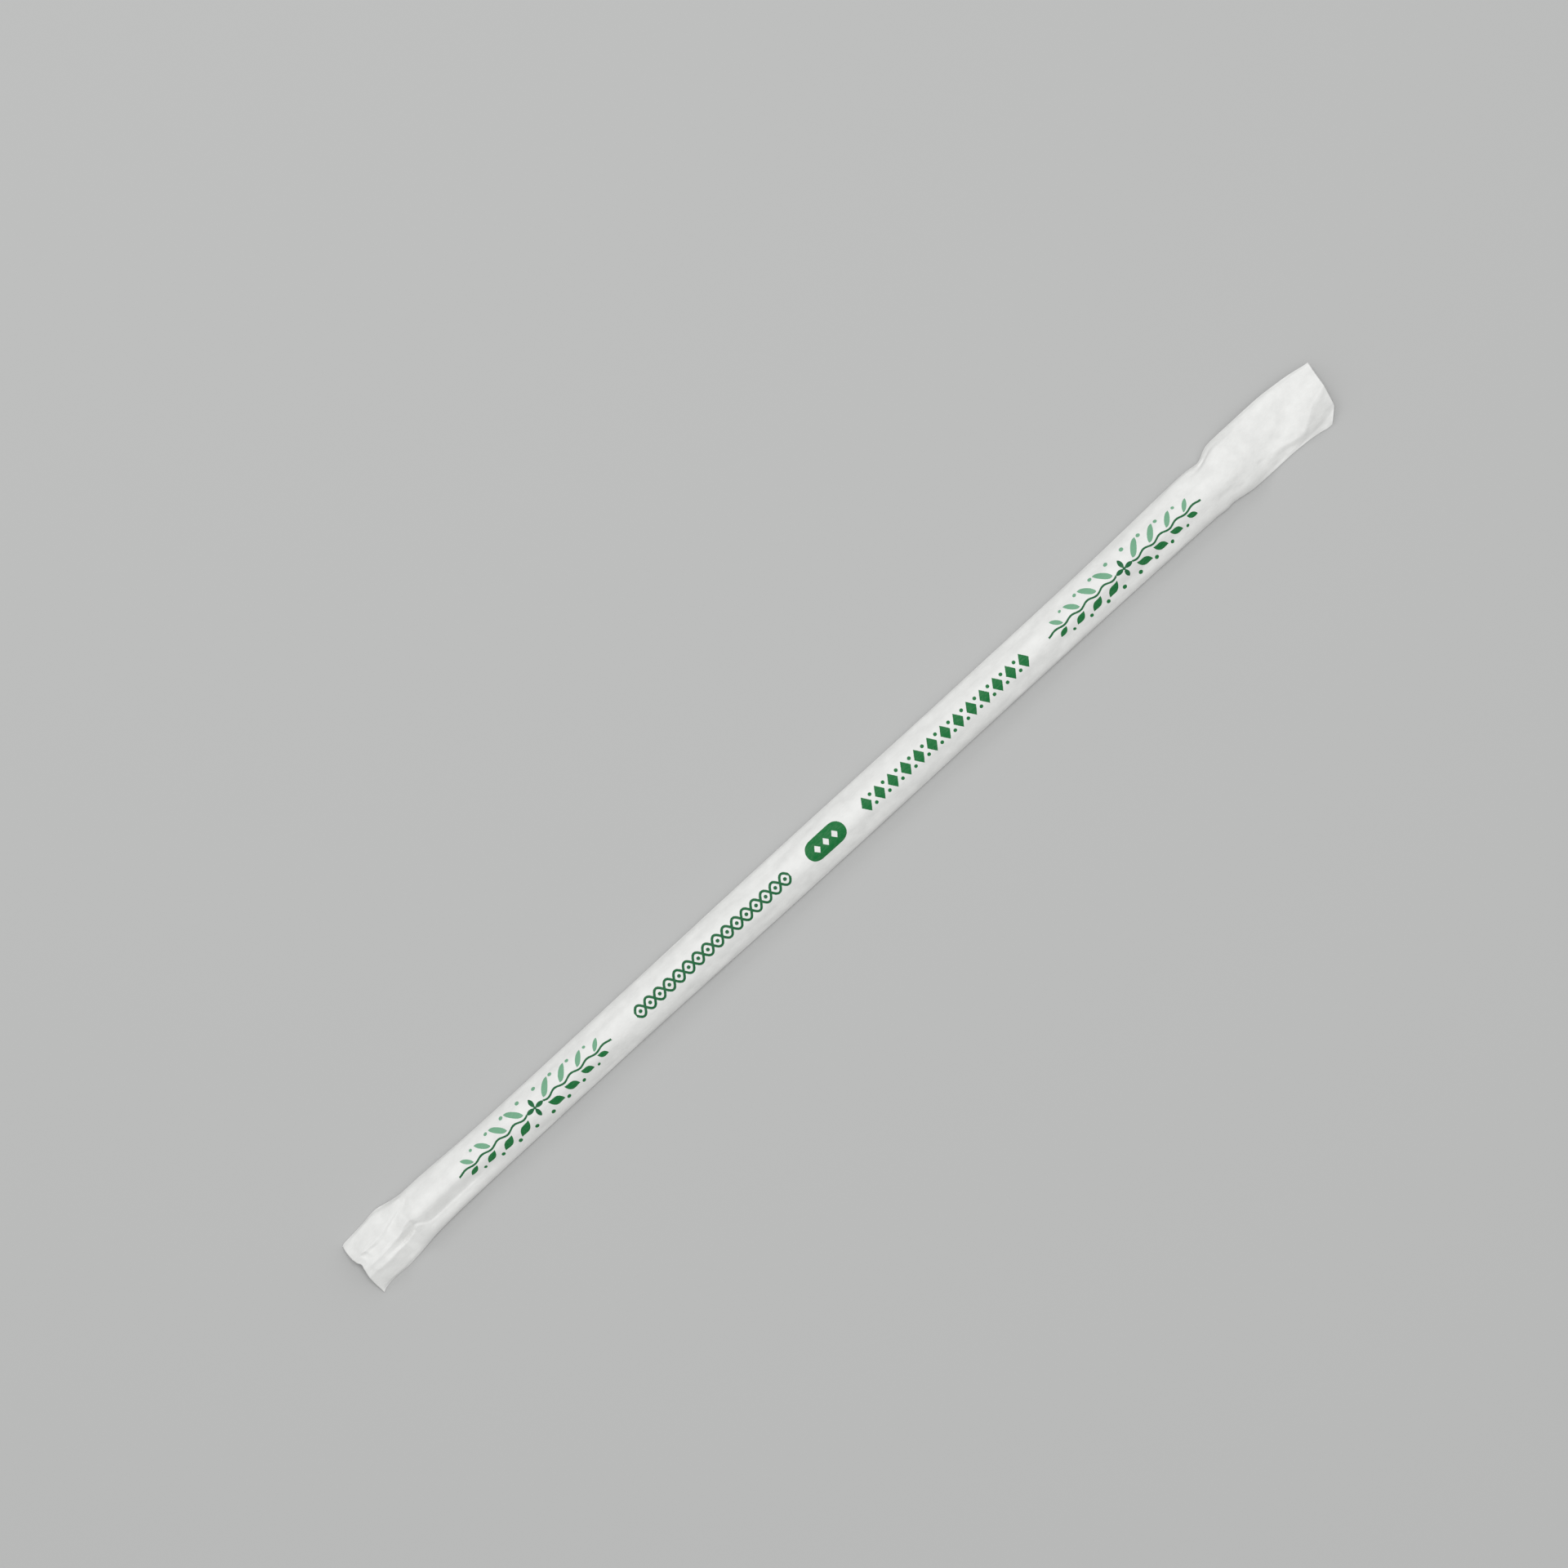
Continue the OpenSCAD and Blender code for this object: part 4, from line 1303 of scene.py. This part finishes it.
    def _cap(
        self,
        rings: Array,
        places: Array,
        around: Array,
        points: Points,
        faces: Faces,
        end: End,
    ) -> Tuple[Array, Array]:
        """Close one end with two lips and a groove between the sheets.

        Args:
            rings: Points of the sleeve.
            places: Places of the rings along X.
            around: The way round each ring.
            points: The mesh's points, which the cap adds to.
            faces: The mesh's faces, which the cap adds to.
            end: Which end to close.

        Returns:
            The cap's places in the sheet map and in the bake map.
        """
        count, size = rings.shape[:2]
        index = 0 if end is End.NEAR else count - 1
        first = index * size
        top_ids = first + np.arange(self.top_columns)
        lower_start = self.top_columns + self.round_columns
        lower_stop = size - self.round_columns
        lower_ids = first + np.arange(lower_start, lower_stop)[::-1]
        edge = rings[index]
        lower = edge[lower_start:lower_stop][::-1]
        top = edge[: self.top_columns]
        height = np.interp(-top[:, 1], -lower[:, 1], lower[:, 2])
        groove = top.copy()
        groove[:, 2] = (top[:, 2] + height) / 2
        groove[1:-1, 0] -= end.value * self.lip_depth
        base = len(points)
        points.extend(map(tuple, groove * MM))
        groove_ids = base + np.arange(self.top_columns)
        right_round = first + self.top_columns + np.arange(self.round_columns)
        left_round = first + size - self.round_columns + np.arange(self.round_columns)
        loops = [
            *self._strip(top_ids, groove_ids),
            *self._strip(groove_ids, lower_ids),
            *self._fan(groove_ids[-1], [top_ids[-1], *right_round, lower_ids[-1]]),
            *self._fan(groove_ids[0], [lower_ids[0], *left_round, top_ids[0]]),
        ]
        turn = -1 if end is End.NEAR else 1
        loops = [tuple(int(i) for i in loop[::turn]) for loop in loops]
        faces.extend(loops)
        spots = {}
        for lane, ids in ((0, top_ids), (1, groove_ids), (2, lower_ids)):
            spots.update({int(i): (lane, k / (len(ids) - 1)) for k, i in enumerate(ids)})
        for k in range(self.round_columns):
            lane = 2 * (k + 1) / (self.round_columns + 1)
            spots[int(right_round[k])] = (lane, 1 + self.CAP_PAST)
            spots[int(left_round[k])] = (2 - lane, -self.CAP_PAST)
        low_u = 1 - self.cap_strip * (1 if end is End.FAR else 0.5)
        bake = np.array([spots[i] for face in loops for i in face])
        tall = self.CAP_TALL
        bake = bake * (self.cap_strip * self.CAP_LANE, tall) + (low_u, (1 - tall) / 2)
        sheet = np.tile([places[index], around[index, -1] - self.CAP_BARE], (len(bake), 1))
        return sheet, bake

    @staticmethod
    def _strip(upper: Array, lower: Array) -> Faces:
        """Return triangles between two rows of points of any lengths."""
        made, k = [], 0
        last, steps = len(lower) - 1, len(upper) - 1
        for i in range(steps):
            target = round((i + 1) * last / steps)
            made.append((upper[i], upper[i + 1], lower[k]))
            while k < target:
                made.append((upper[i + 1], lower[k + 1], lower[k]))
                k += 1
        return made

    @staticmethod
    def _fan(centre: int, run: Sequence[int]) -> Faces:
        """Return triangles from one point to a run of points."""
        return [(a, b, centre) for a, b in zip(run, run[1:])]

    @staticmethod
    def _rest_on_floor(mesh: bpy.types.Mesh) -> None:
        """Keep every point on or above the floor."""
        flat = np.empty(len(mesh.vertices) * 3, np.float32)
        mesh.vertices.foreach_get("co", flat)
        flat[2::3] = np.maximum(flat[2::3], 0.0)
        mesh.vertices.foreach_set("co", flat)
        mesh.update()


@dataclass(frozen=True)
class Lamp:
    """A square lamp that points at the sleeve, by its direction seen from there."""

    name: str
    turn_degrees: float
    rise_degrees: float
    away: float
    size: float
    watts: float

    def hang(self) -> None:
        """Add the lamp to the scene."""
        turn, rise = math.radians(self.turn_degrees), math.radians(self.rise_degrees)
        level = math.cos(rise)
        place = Vector((level * math.cos(turn), level * math.sin(turn), math.sin(rise))) * self.away
        data = bpy.data.lights.new(self.name, "AREA")
        data.shape = "SQUARE"
        data.size = self.size
        data.energy = self.watts
        light = placed(self.name, data)
        light.location = place
        light.rotation_euler = (-place).to_track_quat("-Z", "Y").to_euler()


@dataclass
class Studio:
    """The floor, the lights and the camera."""

    lamps: Tuple[Lamp, ...] = (
        Lamp("top_lamp", 52.0, 82.0, 1.2, 0.5, 5.95),
        Lamp("side_lamp", 92.0, 38.0, 1.2, 0.3, 1.4),
    )
    sky_colour: Tuple[float, float, float, float] = (0.99, 1.0, 0.99, 1.0)
    sky_strength: float = 0.5
    frame_width: float = 0.3024
    lens: float = 100.0
    sensor: float = 36.0
    rise_degrees: float = 42.47
    photo_centre: Tuple[float, float] = (1032.1, 1009.9)
    photo_size: float = 1920.0
    floor_half: float = 1.5
    clipping: Tuple[float, float] = (0.01, 10.0)

    def build(self) -> None:
        """Set the floor, the lights and the camera."""
        self._floor()
        self._lights()
        self._camera()

    def _axes(self) -> Tuple[Vector, Vector]:
        """Return the picture's right and up as directions on the floor."""
        turn = math.radians(-self.rise_degrees)
        right = Vector((math.cos(turn), math.sin(turn), 0.0))
        return right, Vector((-right.y, right.x, 0.0))

    def _floor(self) -> None:
        """Lay a plain floor under the sleeve."""
        h = self.floor_half
        mesh = bpy.data.meshes.new("floor")
        mesh.from_pydata([(-h, -h, 0), (h, -h, 0), (h, h, 0), (-h, h, 0)], [], [(0, 1, 2, 3)])
        mesh.materials.append(FloorFinish().build())
        floor = placed("floor", mesh)
        floor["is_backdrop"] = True

    def _lights(self) -> None:
        """Set soft lamps above the sleeve and a pale sky."""
        for lamp in self.lamps:
            lamp.hang()
        world = bpy.data.worlds.new("studio")
        world.use_nodes = True
        background = world.node_tree.nodes["Background"]
        background.inputs[0].default_value = self.sky_colour
        background.inputs[1].default_value = self.sky_strength
        bpy.context.scene.world = world
        bpy.context.scene.view_settings.view_transform = "Standard"

    def _camera(self) -> None:
        """Look straight down, with the sleeve where the photograph has it."""
        right, up = self._axes()
        data = bpy.data.cameras.new("camera")
        data.lens = self.lens
        data.sensor_width = self.sensor
        data.clip_start, data.clip_end = self.clipping
        scale = self.frame_width / self.photo_size
        across = (self.photo_centre[0] - self.photo_size / 2) * scale
        down = (self.photo_centre[1] - self.photo_size / 2) * scale
        away = self.frame_width * self.lens / self.sensor
        camera = placed("camera", data)
        camera.location = up * down - right * across + Vector((0, 0, away))
        camera.rotation_euler = (0.0, 0.0, math.radians(-self.rise_degrees))
        bpy.context.scene.camera = camera


def report_piece(piece: bpy.types.Object, cad_box: Tuple[Vector, Vector]) -> None:
    """Log a piece's faces and how far its box departs from the packed solid's."""
    low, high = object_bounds()
    off = max(abs(a - b) for pair in zip((low, high), cad_box) for a, b in zip(*pair))
    LOG.info("%s: %d faces, box off by %.2f mm", piece.name, len(piece.data.polygons), off / MM)


def main() -> None:
    """Dress the packed solid, and set the floor, the lights and the camera."""
    logging.basicConfig(level=logging.INFO, format="%(name)s %(message)s")
    cad_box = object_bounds()
    sleeve = PaperSleeve(SleeveSizes(), PaperFinish(), Crumple()).build()
    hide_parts(NODE)
    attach(sleeve, "root")
    Studio().build()
    report_piece(sleeve, cad_box)


if __name__ == "__main__":
    main()
